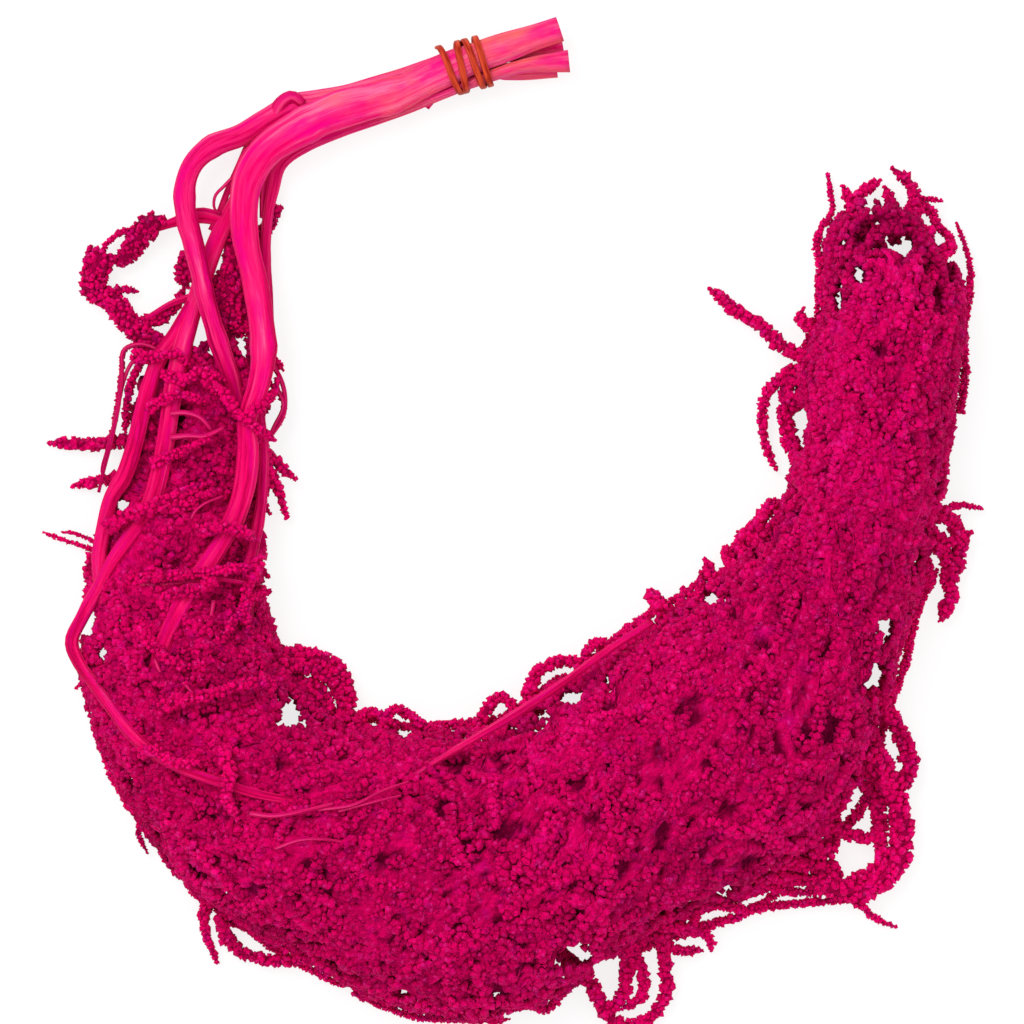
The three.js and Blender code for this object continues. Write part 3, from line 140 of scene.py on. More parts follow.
# The sprays of tassels: which stations and turns of the mass each holds, and its single tassels, each with
# its radius, its tip as a share of that, and its route. Two sprays lie loose and hold no part of the mass.
SPRAYS = {
    "spray_shoulder": ((0, 1.7), (0, 1), [
        (3.1, 0.6, [(62, 174, 9), (52, 176, 6), (40, 177.5, 3.8), (30, 177.5, 3.2), (19.5, 177.2, 2.4)]),
        (1.2, 0.9, [(64, 144, 7), (54, 138, 7), (49, 141, 7), (48.4, 150, 6.5), (46.6, 162, 6.5),
            (44, 176, 6)]),
        (1.2, 0.9, [(103, 150, 6), (110, 155, 7), (113.4, 162, 7), (111, 170, 7), (104, 177, 7)]),
        (2.3, 0.7, [(102, 140, 6), (108, 143, 5), (112.8, 147.5, 4.5)]),
        (1.7, 0.8, [(57, 143, 9), (52.6, 152, 9), (50.6, 162, 9), (50, 173, 9)]),
    ]),
    "spray_left": ((1.7, 3.3), (0, 1), [
        (2.9, 0.6, [(58, 192, 9), (48, 191.5, 6), (38, 192.5, 3.8), (29, 194.4, 2.6)]),
        (3.4, 0.8, [(97, 168, 16), (103.5, 176, 14), (106, 187, 12), (106.5, 198, 10)]),
        (3.3, 0.35, [(98, 176, 12), (106, 181, 11), (112, 186.5, 9), (118, 191.6, 6)]),
        (3.1, 0.35, [(98, 182, 11), (107, 188, 10), (111.6, 197, 7.5), (114.4, 207, 4.5)]),
        (2.2, 0.4, [(94, 192, 9), (103, 197, 8.5), (107.6, 205.5, 6)]),
        (1.3, 0.6, [(48, 223, 8), (34, 219, 4.5), (25, 216, 3), (17, 213, 2)]),
        (1.3, 0.6, [(48, 219, 8), (37, 216.5, 5), (30, 213.5, 4), (24.5, 213, 3)]),
        (2.6, 0.6, [(92, 218, 9), (103, 226, 7), (107, 230.5, 5.5)]),
        (3.6, 0.8, [(46, 216, 9), (38.5, 223, 7), (36.5, 230, 6), (40, 240, 8)]),
    ]),
    "spray_corner_outer": ((3.3, 5.2), (0, 0.5), [
        (1.7, 0.5, [(42, 268, 10), (34, 272, 6), (30, 275.5, 4)]),
        (1.6, 0.5, [(58, 322, 9), (55, 333, 5.5), (58.5, 341.5, 3.5)]),
    ]),
    "spray_corner_inner": ((3.3, 5.2), (0.5, 1), [
        (3.7, 0.8, [(98, 263, 12), (108, 262.6, 8), (116, 262.4, 6), (126, 263.4, 5.5), (134, 267.4, 5.5),
            (138.6, 276, 6), (138.4, 285, 7), (133, 292, 12)]),
        (2.8, 0.8, [(112, 266, 14), (122, 267, 9), (130, 270, 8), (135.5, 277, 8), (136, 286, 9)]),
        (3.5, 0.8, [(104, 278, 13), (113, 274.5, 8), (123, 274, 6.5), (130.5, 280, 7), (129, 290, 12)]),
    ]),
    "spray_belly_outer_1": ((5.2, 7.8), (0, 0.37), [
        (2.9, 0.35, [(88, 350, 12), (82, 362, 7), (82, 373, 4.5), (86.4, 385.5, 3)]),
        (2.8, 0.7, [(88, 366, 10), (91, 376, 6), (98, 382, 5), (108, 384.5, 5), (122, 385, 8)]),
    ]),
    "spray_belly_middle_1": ((5.2, 7.6), (0.37, 0.63), []),
    "spray_belly_inner_1": ((5.2, 8.3), (0.63, 1), [
        (2.4, 0.8, [(140, 293, 13), (148, 285, 8), (158, 290, 11)]),
        (2.2, 0.8, [(153, 292, 12), (157, 284, 7.5), (163, 286, 7.5), (172, 292, 11)]),
        (2.4, 0.8, [(189, 295, 13), (195.5, 283, 8), (199.5, 278.5, 7), (204.5, 281.5, 8), (207, 290, 12)]),
    ]),
    "spray_belly_outer_2": ((7.8, 10.3), (0, 0.37), [
        (3, 0.7, [(262, 366, 12), (265.5, 380, 6), (266.8, 392, 5), (265, 402, 4.6), (258, 409, 4.4)]),
        (3, 0.8, [(248, 370, 12), (251, 384, 6.5), (250.5, 394, 5.4), (247, 402, 5), (241, 406, 5)]),
        (3, 0.8, [(222, 380, 14), (234, 390, 7), (240, 401, 5.4), (246, 409, 5), (256, 411, 4.6),
            (262, 406, 4.6)]),
        (2.3, 0.8, [(250, 374, 10), (257.6, 391, 5.4), (256, 400, 5), (249, 404, 5)]),
        (2, 0.8, [(266, 370, 10), (276, 372.5, 6), (283.5, 375, 4.5), (284.8, 381, 3.5)]),
        (2, 0.8, [(262, 374, 9), (271, 380.5, 5), (281, 380.5, 4)]),
    ]),
    "spray_belly_middle_2": ((7.6, 10.4), (0.37, 0.63), []),
    "spray_belly_inner_2": ((8.3, 11), (0.63, 1), [
        (2.5, 0.8, [(210, 288, 14), (213, 272, 8), (219, 266, 7), (228, 264.5, 7), (238, 268, 12)]),
        (2.2, 0.8, [(232, 268, 12), (237.5, 257.8, 8), (246, 258, 11)]),
    ]),
    "spray_belly_outer_3": ((10.3, 13.2), (0, 0.37), [
        (4.4, 0.9, [(348, 300, 16), (357, 314, 9), (360.5, 328, 7), (360.5, 341, 6.5), (354, 351.5, 6.5),
            (343, 357, 7), (326, 352, 12)]),
        (3.3, 0.8, [(348, 276, 14), (357, 288, 8), (362.5, 298, 6.5), (364.5, 308, 6.5), (357, 320, 9)]),
        (2, 0.7, [(361, 303, 6.5), (367.8, 303.6, 5.5)]),
        (2.2, 0.4, [(330, 352, 10), (344, 362, 5.5), (351, 368, 4), (359, 371.3, 2.8)]),
    ]),
    "spray_belly_middle_3": ((10.4, 13.2), (0.37, 0.63), []),
    "spray_belly_inner_3": ((11, 13.2), (0.63, 1), [
        (2.9, 0.9, [(298, 216, 14), (306, 206, 9), (310, 200, 7)]),
        (2.5, 0.9, [(302, 218, 15), (303.6, 211, 10), (303.6, 207.4, 7.5)]),
        (2.8, 0.9, [(264, 244, 14), (262, 239, 8), (260.8, 236, 5.4)]),
        (2.4, 0.9, [(298, 224, 15), (296.6, 217, 10), (295.6, 213.8, 7.5)]),
        (2.5, 0.9, [(294, 228, 15), (291, 222, 10), (289.6, 218.8, 7.5)]),
        (2.4, 0.9, [(286, 233, 15), (283.4, 227, 10), (282.4, 224.2, 7.5)]),
    ]),
    "spray_tail_outer_1": ((13.2, 15.8), (0, 0.5), [
        (2, 0.4, [(374, 206, 12), (384, 202, 7), (393, 203.4, 4)]),
        (3.2, 0.8, [(372, 204, 14), (381.6, 209, 8), (384.6, 219, 6), (381.4, 230, 5.4), (380, 241, 5),
            (377, 248, 4.4)]),
        (2.6, 0.8, [(370, 212, 12), (377, 217, 8), (379, 226, 6), (377.6, 234, 5)]),
        (2.4, 0.8, [(374, 220, 12), (384, 215, 8), (389, 213, 7)]),
    ]),
    "spray_tail_inner_1": ((13.2, 15.4), (0.5, 1), [
        (3.3, 0.8, [(322, 158, 12), (314.5, 164, 7.5), (316, 176, 6.5), (322, 188, 12)]),
    ]),
    "spray_tail_outer_2": ((15.8, 19), (0, 0.5), [
        (2.7, 0.7, [(366, 92, 12), (366, 77, 7), (362.5, 71.5, 5.5), (357.6, 67.2, 4.4)]),
        (2, 0.5, [(362, 88, 10), (364.5, 82, 7), (369, 79.3, 6.5), (376.4, 80, 5)]),
        (2.3, 0.8, [(358, 96, 10), (358, 88, 7), (356.6, 81, 6), (354.4, 74.8, 5)]),
        (2.1, 0.8, [(360, 92, 9), (364, 85.4, 7), (369, 83, 6), (373.4, 84.4, 5.4), (375, 90, 6),
            (379.6, 94, 6), (382, 101, 7)]),
        (1.7, 0.4, [(384, 126, 10), (388.6, 110, 6), (386.4, 98, 4.5), (383, 89, 3.5)]),
        (2.6, 0.9, [(372, 92, 13), (368.6, 98, 18), (364.6, 105, 24), (361, 113, 29)]),
        (2.6, 0.9, [(380, 98, 13), (376, 104, 18), (372, 111, 24), (367.5, 119, 30)]),
    ]),
    "spray_tail_inner_2": ((15.4, 19), (0.5, 1), [
        (2.7, 0.8, [(330, 134, 13), (323, 130, 8), (320, 126.6, 6), (321.4, 123.6, 5)]),
        (2.8, 0.5, [(332, 146, 14), (318, 148, 9), (308, 156, 6), (305, 167, 5), (306.5, 178, 4.4),
            (310.4, 187, 3.4)]),
        (2.8, 0.8, [(328, 146, 13), (314, 139, 8), (306, 131.5, 6), (295, 124, 4.6), (284, 115.5, 3.6)]),
        (2.3, 0.4, [(333, 126, 10), (328.4, 115, 6), (328.6, 105, 5.5), (327, 98, 5), (328.6, 91, 5),
            (333, 84.6, 5), (332.6, 77, 4.4), (331.4, 69.5, 3.4)]),
        (2.6, 0.7, [(344, 98, 11), (341, 86, 6.5), (339.6, 79, 5), (337.6, 74.2, 5)]),
        (2.8, 0.9, [(324, 152, 14), (317, 152, 9), (314, 157, 8), (316, 163, 9)]),
        (2.7, 0.9, [(349, 92, 12), (351.4, 98, 17), (353, 105, 24), (354.6, 113, 29)]),
        (2.6, 0.9, [(344.8, 97, 12), (347, 104, 18), (348.6, 112, 24), (348, 121, 28)]),
        (2.6, 0.8, [(341, 100, 10), (341.6, 90, 7), (341, 83, 6), (345, 77, 6), (352.3, 72, 4.6)]),
        (2.4, 0.8, [(336, 104, 10), (334, 96, 7), (337, 90, 6), (343, 88, 6.5), (350, 92, 9)]),
    ]),
    "spray_loop": (None, None, [
        (4.6, 0.7, [(63, 91, 5.5), (59.5, 89.5, 6), (56, 94, 6), (52.5, 99.5, 5.4), (48, 105, 5)]),
        (1.4, 0.9, [(57, 91, 6), (47.5, 93, 5.4), (41.8, 98, 5), (39.4, 104, 5)]),
        (5.4, 0.8, [(40.5, 101, 5.4), (38.4, 107, 6), (36.6, 114, 6), (38.5, 118, 5.4)]),
        (4.2, 0.9, [(37, 116, 5.4), (45.5, 121, 5), (50, 127.5, 5), (56, 133, 5.5), (63, 138, 6),
            (70, 143, 7)]),
        (2.2, 0.9, [(49, 104.5, 4.6), (44, 103.5, 4.4), (39, 105, 5)]),
        (1.8, 0.7, [(41, 118, 4.6), (48, 115.5, 4.2), (54.5, 116.4, 3.6)]),
        (2.4, 0.8, [(52, 130, 5), (60, 127.8, 4.6), (65, 126.6, 4.4), (70, 122, 4.4), (73.5, 115, 4.6)]),
        (4, 0.8, [(76, 103, 5), (73.5, 108, 5.2), (74, 114, 5)]),
    ]),
    "spray_back": (None, None, [
        (4.6, 0.9, [(97, 90, 5), (94, 104, 5.4), (92, 114, 5.4), (94, 126, 5.4), (96, 134, 6)]),
        (4, 0.9, [(99, 92, 5), (101, 106, 5), (100, 120, 5), (100, 134, 5.4)]),
        (3.4, 0.9, [(88, 112, 4.6), (89, 122, 4.6), (90, 132, 5), (91, 143, 6)]),
        (3, 0.9, [(96, 96, 4.4), (91, 107, 4.4), (86, 116, 4.2)]),
        (3, 0.8, [(110, 82, 3.4), (106, 92, 3), (102.5, 98, 4), (100, 106, 5)]),
        (3.4, 0.8, [(93, 112, 5.4), (88, 117, 4.6), (85, 120.5, 4)]),
    ]),
}

# Where tassels lie over a stem: its route, and the low and high corner of a box on the plan.
COVERED = [
    ("stem_front", 0, 60, 208.5, 110, 217.5),
    ("stem_front", 0, 60, 232.5, 110, 238),
    ("stem_front", 0, 50, 262, 110, 275),
    ("stem_long", 1, 30, 226, 60, 262),
    ("stem_looped", 0, 70, 158, 110, 200),
    ("stem_inner", 0, 80, 228, 110, 262),
    ("stem_long", 0, 58, 296, 67, 304),
    ("stem_long", 0, 90, 307, 97, 318),
    ("stem_long", 0, 118, 298, 180, 323),
    ("stem_long", 0, 203, 283, 211, 289),
    ("stem_long", 0, 228, 262, 236, 272),
]

# Gaps near the edges of the mass, where the surface shows: middle on the plan, and half the size each way.
GAPS = [
    (116, 285.4, 4.2, 5.6), (118.5, 269.2, 2.4, 1.6), (128, 277, 1.5, 2.6), (228, 279, 4.2, 3.2),
    (243, 272, 1.5, 2.2), (216.4, 285.2, 4.4, 2.2), (163, 293, 5, 3), (230, 382, 8, 4), (242, 392, 8, 10),
    (253, 394, 3, 6), (261.2, 391, 5, 13), (277.6, 377.4, 3.8, 2.8), (311, 350, 9, 3.2), (343, 325, 5, 11),
    (343.4, 343, 7.4, 7), (347, 272, 7, 8), (354, 251, 3.4, 5.2), (341.4, 257.4, 2.8, 2.8), (356, 301, 4, 5),
    (362, 99, 4.2, 5.2), (335.4, 119, 2.2, 7), (343, 110, 2.8, 4.2), (340.6, 88, 1.6, 3.2), (317, 168, 7, 8),
    (320.5, 176.5, 1.8, 5), (374, 247, 5, 13), (378, 211, 4, 11), (282, 239, 6, 3), (49, 202, 3.4, 3.4),
    (41, 195.6, 2.2, 1.8), (64, 220.8, 2.2, 4), (48.8, 248.4, 1, 3.6), (42, 262, 2, 2), (35.4, 249, 3.4, 7),
    (86, 372, 4, 3), (96, 372.4, 3, 2.6), (348.5, 84, 2, 3), (344, 96, 3, 2), (364, 90.6, 2.4, 1.2),
    (386.5, 110, 1.2, 2), (348.8, 75, 1.6, 2.4), (338, 97, 2.4, 2), (358, 98, 3.4, 4.4), (364, 109, 1.6, 1.4),
    (371, 101, 1.6, 1.2), (350, 117, 1.4, 1.6), (302, 352.6, 2, 1.6), (317, 344.8, 1.8, 1.4),
    (330, 338, 2, 1.6), (290, 358.6, 1.8, 1.4), (279, 366.4, 1.7, 1.3), (268.6, 371, 1.6, 1.5),
    (341, 310, 1.6, 2), (351, 316, 1.5, 2), (347.6, 289, 1.6, 2.2), (359, 283, 1.6, 2.4),
    (210, 399.6, 2, 1.5), (221, 400.4, 1.8, 1.4), (201, 404, 1.8, 1.2), (296.4, 366.8, 2, 1.2),
    (312.6, 359, 1.8, 1.2), (263, 250, 1.8, 1.4), (270, 246.4, 1.7, 1.4), (205, 291, 2, 1.3),
    (372, 214.6, 1.8, 2), (371, 224.3, 1.8, 2), (363.3, 232.7, 1.7, 1.7), (192, 296, 2, 1.4),
    (150, 296, 1.8, 1.6), (138, 290.6, 1.6, 1.8), (121, 261.6, 1.4, 1.8), (117, 250, 1.3, 1.8),
]

# Tassels that lie across the stems: radius, tip and route.
ACROSS = [
    (2.9, 0.7, [(44, 210.5, 24), (50, 207, 25.5), (58, 204.4, 27), (70, 199, 27.4), (82, 193.6, 25)]),
    (2.1, 0.6, [(62, 185, 24), (70, 182, 25.4), (76, 179.6, 25), (86, 173.4, 25)]),
    (2.4, 0.6, [(66, 204, 25), (74, 201.4, 26.4), (80, 198.6, 26), (88, 196, 28)]),
    (2.2, 0.7, [(52, 231, 26), (62, 230.8, 31), (76, 229.4, 34), (90, 228, 34), (101, 226.4, 28)]),
    (2.3, 0.6, [(82, 152, 20), (90, 158, 21), (96, 166, 24), (103, 171, 26), (110, 176, 20)]),
    (2.2, 0.6, [(97, 168, 26), (104, 163, 25), (109, 158, 18), (111.5, 150, 14)]),
    (2.6, 0.7, [(80, 213, 29), (88, 210.6, 31.4), (95, 211.6, 31), (103, 216, 24)]),
    (2.5, 0.7, [(86, 232, 33), (80, 236, 35.6), (72, 236.6, 35), (64, 240, 30)]),
    (2.6, 0.6, [(56, 250, 30), (66, 262, 36.4), (76, 266, 37.5), (86, 264, 36)]),
    (2.4, 0.7, [(58, 300, 41), (63, 299, 45), (70, 304, 49), (80, 304, 50)]),
    (2.6, 0.7, [(90, 300, 48), (93, 308, 52), (92, 317, 53), (96, 326, 51.5)]),
    (2.6, 0.7, [(64, 284, 42), (72, 280, 45), (86, 277, 46.5), (100, 272.6, 44), (110, 272, 40)]),
    (2.4, 0.6, [(54, 142, 16), (60, 143, 18), (70, 141.6, 19), (76, 146, 17)]),
    (2.2, 0.6, [(66, 150, 18), (74, 152, 21), (80, 148.6, 21), (90, 152, 18)]),
    (2.1, 0.6, [(60, 163, 18), (66, 160, 23), (73, 158, 23.4), (82, 160.6, 19)]),
    (2.4, 0.7, [(104, 224, 22), (100.4, 232, 27), (98.4, 242, 28), (99.4, 252, 26)]),
    (2.1, 0.7, [(106, 236, 18), (101, 240, 26.5), (95, 247, 30), (90, 256, 34)]),
    (3.2, 0.9, [(346, 290, 12), (350.6, 299, 7), (352, 309, 5.5), (351.6, 320, 5), (352, 330, 5),
        (352, 338, 5)]),
    (2.6, 0.9, [(352.6, 336, 5), (353.4, 343, 5), (348.4, 350, 5), (340, 351.6, 5)]),
    (2.6, 0.9, [(326, 327, 14), (336, 332, 9), (345, 335.4, 7), (355, 334, 6)]),
    (3.4, 0.9, [(318, 335, 16), (326, 339.5, 11), (331, 341, 8), (335, 338, 7)]),
    (3.2, 0.9, [(310, 343, 15), (321, 346, 9), (330, 347, 7), (337, 350, 6)]),
    (2.8, 0.9, [(304, 350, 12), (317, 351.6, 7), (329, 353, 6), (341, 354.6, 5.5)]),
    (1.9, 0.8, [(300, 350, 12), (312, 356, 6), (326, 357, 4), (340, 353.6, 4), (350, 351, 5)]),
    (1.8, 0.8, [(286, 362, 12), (298, 364, 6), (312, 362.5, 4), (328, 361, 4), (340, 360, 5)]),
]

# Thin bare stalks: radius, and route.
STALKS = [
    (0.9, [(64, 140, 9), (56, 137.6, 10), (49.4, 140, 10), (48.6, 150, 10), (47.4, 162, 11),
        (44.6, 176, 12), (41, 190, 12), (39.4, 197, 12)]),
    (0.8, [(58, 141, 9), (52.6, 145, 9), (49.4, 152, 9), (46.4, 166, 9), (42.6, 180, 9), (40.6, 189, 9),
        (43, 194, 9)]),
    (1, [(103.5, 142, 14), (109.6, 147, 13), (113.6, 156, 12), (113.4, 166, 11), (108.6, 174, 11),
        (104.4, 179, 12)]),
    (1.1, [(68.8, 165.5, 24), (74.6, 165.2, 25), (80.8, 167.4, 25), (84.8, 172.2, 24)]),
    (1.2, [(68.8, 175, 24), (76, 174.4, 25), (82, 174.6, 25), (90, 171.4, 26)]),
    (1.2, [(54, 233.4, 26), (64, 233.6, 28.5), (76, 232.8, 31), (88, 231.6, 31), (98, 233, 28)]),
    (1, [(86, 240, 28), (85, 246, 29), (84, 251, 29)]),
    (0.9, [(110, 154, 12), (113.4, 162, 12), (109.4, 171, 12), (106, 179, 14)]),
    (0.8, [(76, 214, 24), (77.4, 206, 25), (82, 201.6, 26), (89.6, 198.6, 27)]),
    (0.7, [(92.8, 71.2, 12), (89.4, 74.6, 12), (86, 78.4, 12), (85.8, 83.6, 11), (88.4, 85.4, 10)]),
    (1.1, [(101, 324, 50.5), (110, 325, 51.6), (120, 323.6, 51.8), (134, 320.4, 51.6)]),
    (0.8, [(128, 322.6, 51), (142, 320.6, 52), (154, 315, 51), (164, 311.6, 49.4)]),
    (0.7, [(136, 323.2, 50.5), (150, 319.5, 51.4), (161, 317, 51)]),
    (3, [(109.5, 46, 8), (112.6, 41, 9.6), (116.6, 38.6, 10), (121, 41.4, 9)]),
    (2.2, [(164, 37, 6), (169, 39.6, 6.4), (172.4, 42.2, 6)]),
    (1.5, [(100, 56, 8), (95.6, 66, 8), (91, 76, 8), (87, 86, 8), (84, 92, 8)]),
    (1.3, [(107, 67, 7), (105, 76, 7), (104.6, 87, 7)]),
    (0.9, [(69.4, 266, 35), (76, 274.4, 39.5), (81, 279.6, 42)]),
    (0.9, [(62.8, 263.4, 33), (65.2, 269, 36), (66.8, 272.6, 37)]),
    (0.8, [(111, 338, 49.5), (121, 334.6, 50.5), (133, 334.6, 50.5), (141, 336.4, 50)]),
]


def place(points):
    """Points of the plan in the row frame: x less the plan's middle, the plan's middle less y, and z as it
    is."""
    points = np.asarray(points, float)
    turned = points * [1, -1, 1]
    return turned + [-PLAN_MIDDLE[0], PLAN_MIDDLE[1], 0]


def through(points, where):
    """A centripetal Catmull-Rom curve: between two points it is the cubic whose slopes at both weigh the
    three nearest chords by the square roots of their lengths. It is read at where, counted in points."""
    points = np.asarray(points, float)
    where = np.asarray(where, float)
    around = np.vstack([2 * points[0] - points[1], points, 2 * points[-1] - points[-2]])
    before = np.clip(np.floor(where).astype(int), 0, len(points) - 2)
    share = (where - before)[..., None]
    p0, p1, p2, p3 = (around[before + i] for i in range(4))

    def root(a, b):
        """The square root of the distance between two points."""
        return np.maximum(np.sum((a - b) ** 2, axis=-1, keepdims=True), 1e-8) ** 0.25

    d0, d1, d2 = root(p0, p1), root(p1, p2), root(p2, p3)
    slope1 = ((p1 - p0) / d0 - (p2 - p0) / (d0 + d1) + (p2 - p1) / d1) * d1
    slope2 = ((p2 - p1) / d1 - (p3 - p1) / (d1 + d2) + (p3 - p2) / d2) * d1
    square = 3 * (p2 - p1) - 2 * slope1 - slope2
    cube = 2 * (p1 - p2) + slope1 + slope2
    return p1 + share * (slope1 + share * (square + share * cube))


def evenly(points, step):
    """The same curve at equal steps: where along it each step falls, counted in points, and the points
    there."""
    points = np.asarray(points, float)
    fine = np.linspace(0, len(points) - 1, 24 * (len(points) - 1) + 1)
    path = through(points, fine)
    run = np.concatenate([[0], np.cumsum(np.linalg.norm(np.diff(path, axis=0), axis=1))])
    count = max(4, int(round(run[-1] / step)))
    where = np.interp(np.linspace(0, run[-1], count + 1), run, fine)
    return where, through(points, where)


def unit(vectors):
    """Vectors divided by their lengths."""
    return vectors / np.maximum(np.linalg.norm(vectors, axis=-1, keepdims=True), 1e-9)


def square_to(path):
    """Along, sideways and upwards at each point of a path: sideways is along turned a quarter in the plan."""
    along = unit(np.gradient(path, axis=0))
    side = unit(np.stack([along[:, 1], -along[:, 0], np.full(len(path), 1e-6)], axis=1))
    return along, side, unit(np.cross(side, along))


def at_points(values, where):
    """Values given for each point of a route, read between them along straight lines."""
    return np.interp(where, np.arange(len(values)), values)


def turned_out(corners, triangles):
    """Triangles facing outwards: the sum of a . (b x c) over them is six times the volume inside."""
    a, b, c = (corners[triangles[:, i]] for i in range(3))
    inside = np.einsum("ij,ij->", a, np.cross(b, c))
    return triangles[:, ::-1] if inside < 0 else triangles


def skin(rings):
    """A closed skin over rings (count, sides, 3): two triangles between each four neighbours, and a fan
    from the middle of each end ring."""
    count, sides = rings.shape[:2]
    corners = np.vstack([rings.reshape(-1, 3), rings[0].mean(axis=0), rings[-1].mean(axis=0)])
    ring = (np.arange(count - 1) * sides)[:, None]
    side = np.arange(sides)[None, :]
    after = (side + 1) % sides
    a, b = ring + side, ring + after
    walls = np.stack([a, b, b + sides, a, b + sides, a + sides], axis=-1).reshape(-1, 3)
    side, after = side[0], after[0]
    far = (count - 1) * sides
    first = np.stack([after, side, np.full(sides, count * sides)], axis=1)
    last = np.stack([far + side, far + after, np.full(sides, count * sides + 1)], axis=1)
    triangles = np.vstack([walls, first, last])
    return corners, turned_out(corners, triangles)


def tube(path, radii, sides):
    """A round tube along a path: rings square to it, each with its own radius."""
    _, side, up = square_to(path)
    angle = 2 * np.pi * np.arange(sides) / sides
    ring = side[:, None] * np.cos(angle)[None, :, None] + up[:, None] * np.sin(angle)[None, :, None]
    return skin(path[:, None] + ring * np.reshape(radii, (-1, 1, 1)))


KNOB_CORNERS = 1.12 * unit(np.array([(x, y, z) for x in (-1.0, 1) for y in (-1, 1) for z in (-1, 1)]))
KNOB_TRIANGLES = np.array([
    (0, 1, 3), (0, 3, 2), (4, 6, 7), (4, 7, 5), (0, 4, 5), (0, 5, 1),
    (2, 3, 7), (2, 7, 6), (0, 2, 6), (0, 6, 4), (1, 5, 7), (1, 7, 3),
])


def knobs(centres, radii, rng):
    """A cluster of florets at each centre: a crumb of eight corners and twelve faces, every corner moved in
    or out by chance and the whole turned by a random quaternion."""
    count = len(centres)
    w, x, y, z = unit(rng.normal(size=(count, 4))).T
    turn = np.stack([
        np.stack([1 - 2 * (y * y + z * z), 2 * (x * y - z * w), 2 * (x * z + y * w)], axis=-1),
        np.stack([2 * (x * y + z * w), 1 - 2 * (x * x + z * z), 2 * (y * z - x * w)], axis=-1),
        np.stack([2 * (x * z - y * w), 2 * (y * z + x * w), 1 - 2 * (x * x + y * y)], axis=-1),
    ], axis=1)
    uneven = rng.uniform(0.72, 1.42, size=(count, len(KNOB_CORNERS), 1))
    corners = np.einsum("nij,kj->nki", turn, KNOB_CORNERS) * uneven * radii[:, None, None]
    corners += centres[:, None, :]
    first = (np.arange(count) * len(KNOB_CORNERS))[:, None, None]
    return corners.reshape(-1, 3), (KNOB_TRIANGLES[None] + first).reshape(-1, 3)


class Parts:
    """Collects corners, triangles and two numbers a corner, tint and shade, into one mesh."""

    def __init__(self):
        self.corners, self.triangles, self.tints, self.shades, self.uvs, self.count = [], [], [], [], [], 0

    def add(self, corners, triangles, tint, shade, uv=None):
        """Adds a shape. Tint and shade are a number, or one a corner, and UV is two numbers a corner."""
        self.corners.append(corners)
        self.triangles.append(triangles + self.count)
        self.tints.append(np.broadcast_to(tint, len(corners)))
        self.shades.append(np.broadcast_to(shade, len(corners)))
        self.count += len(corners)
        if uv is not None:
            self.uvs.append(uv)

    def piece(self, name, material, slot, nodes):
        """Makes the object, which stands for the CAD nodes."""
        if not self.corners:
            raise RuntimeError(f"{name} has no shape")
        piece = mesh_piece(name, np.vstack(self.corners), np.vstack(self.triangles), material)
        for label, values in (("tint", self.tints), ("shade", self.shades)):
            layer = piece.data.attributes.new(label, "FLOAT", "POINT")
            layer.data.foreach_set("value", np.concatenate(values).astype(np.float32))
        if self.uvs:
            index = np.empty(len(piece.data.loops), np.int32)
            piece.data.loops.foreach_get("vertex_index", index)
            layer = piece.data.uv_layers.new(name=UV_NAME)
            layer.data.foreach_set("uv", np.vstack(self.uvs)[index].astype(np.float32).ravel())
        finish_piece(piece, nodes)
        return piece


def mesh_piece(name, corners, triangles, material):
    """A smooth object at the origin whose mesh has these corners, in millimetres, and these triangles."""
    mesh = bpy.data.meshes.new(name)
    count = len(triangles)
    mesh.vertices.add(len(corners))
    mesh.vertices.foreach_set("co", (corners * MM).astype(np.float32).ravel())
    mesh.loops.add(3 * count)
    mesh.loops.foreach_set("vertex_index", triangles.astype(np.int32).ravel())
    mesh.polygons.add(count)
    mesh.polygons.foreach_set("loop_start", np.arange(0, 3 * count, 3, dtype=np.int32))
    mesh.polygons.foreach_set("use_smooth", np.ones(count, bool))
    mesh.update(calc_edges=True)
    mesh.materials.append(material)
    piece = bpy.data.objects.new(name, mesh)
    bpy.context.scene.collection.objects.link(piece)
    return piece


def finish_piece(piece, nodes):
    """Attaches the piece to the root body and hides the CAD nodes that it stands for."""
    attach(piece, "root")
    if nodes:
        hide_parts(*nodes)


# ---- the mass of tassels ----

OUTER_EDGE = place([(x, y, 0) for x, y, _, _, _ in STATIONS])
INNER_EDGE = place([(x, y, 0) for _, _, x, y, _ in STATIONS])
HEIGHTS = np.array([row[4] for row in STATIONS], float)
LAST_STATION = len(STATIONS) - 1
# The power that rounds sections, the height under no stem, and how many steps a tassel walks at most.
ROUNDNESS = 0.8
NO_STEM = 1000.0
WALK_STEPS = 40
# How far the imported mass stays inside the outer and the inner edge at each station, where single tassels lie.
OUTER_INSETS = [0, 0, 0, 0.5, 1.5, 3, 4, 6, 4.5, 6, 9, 10, 10.5, 9, 8, 9, 6, 5, 8, 10]
INNER_INSETS = [0, 0, 0.5, 2, 4, 7.5, 8.5, 6.5, 6, 6, 8, 9, 8, 5, 3, 4, 5.5, 6.5, 5, 3]


def at_station(values, station):
    """Values given for each station, read between stations along straight lines."""
    return np.interp(station, np.arange(LAST_STATION + 1), values)


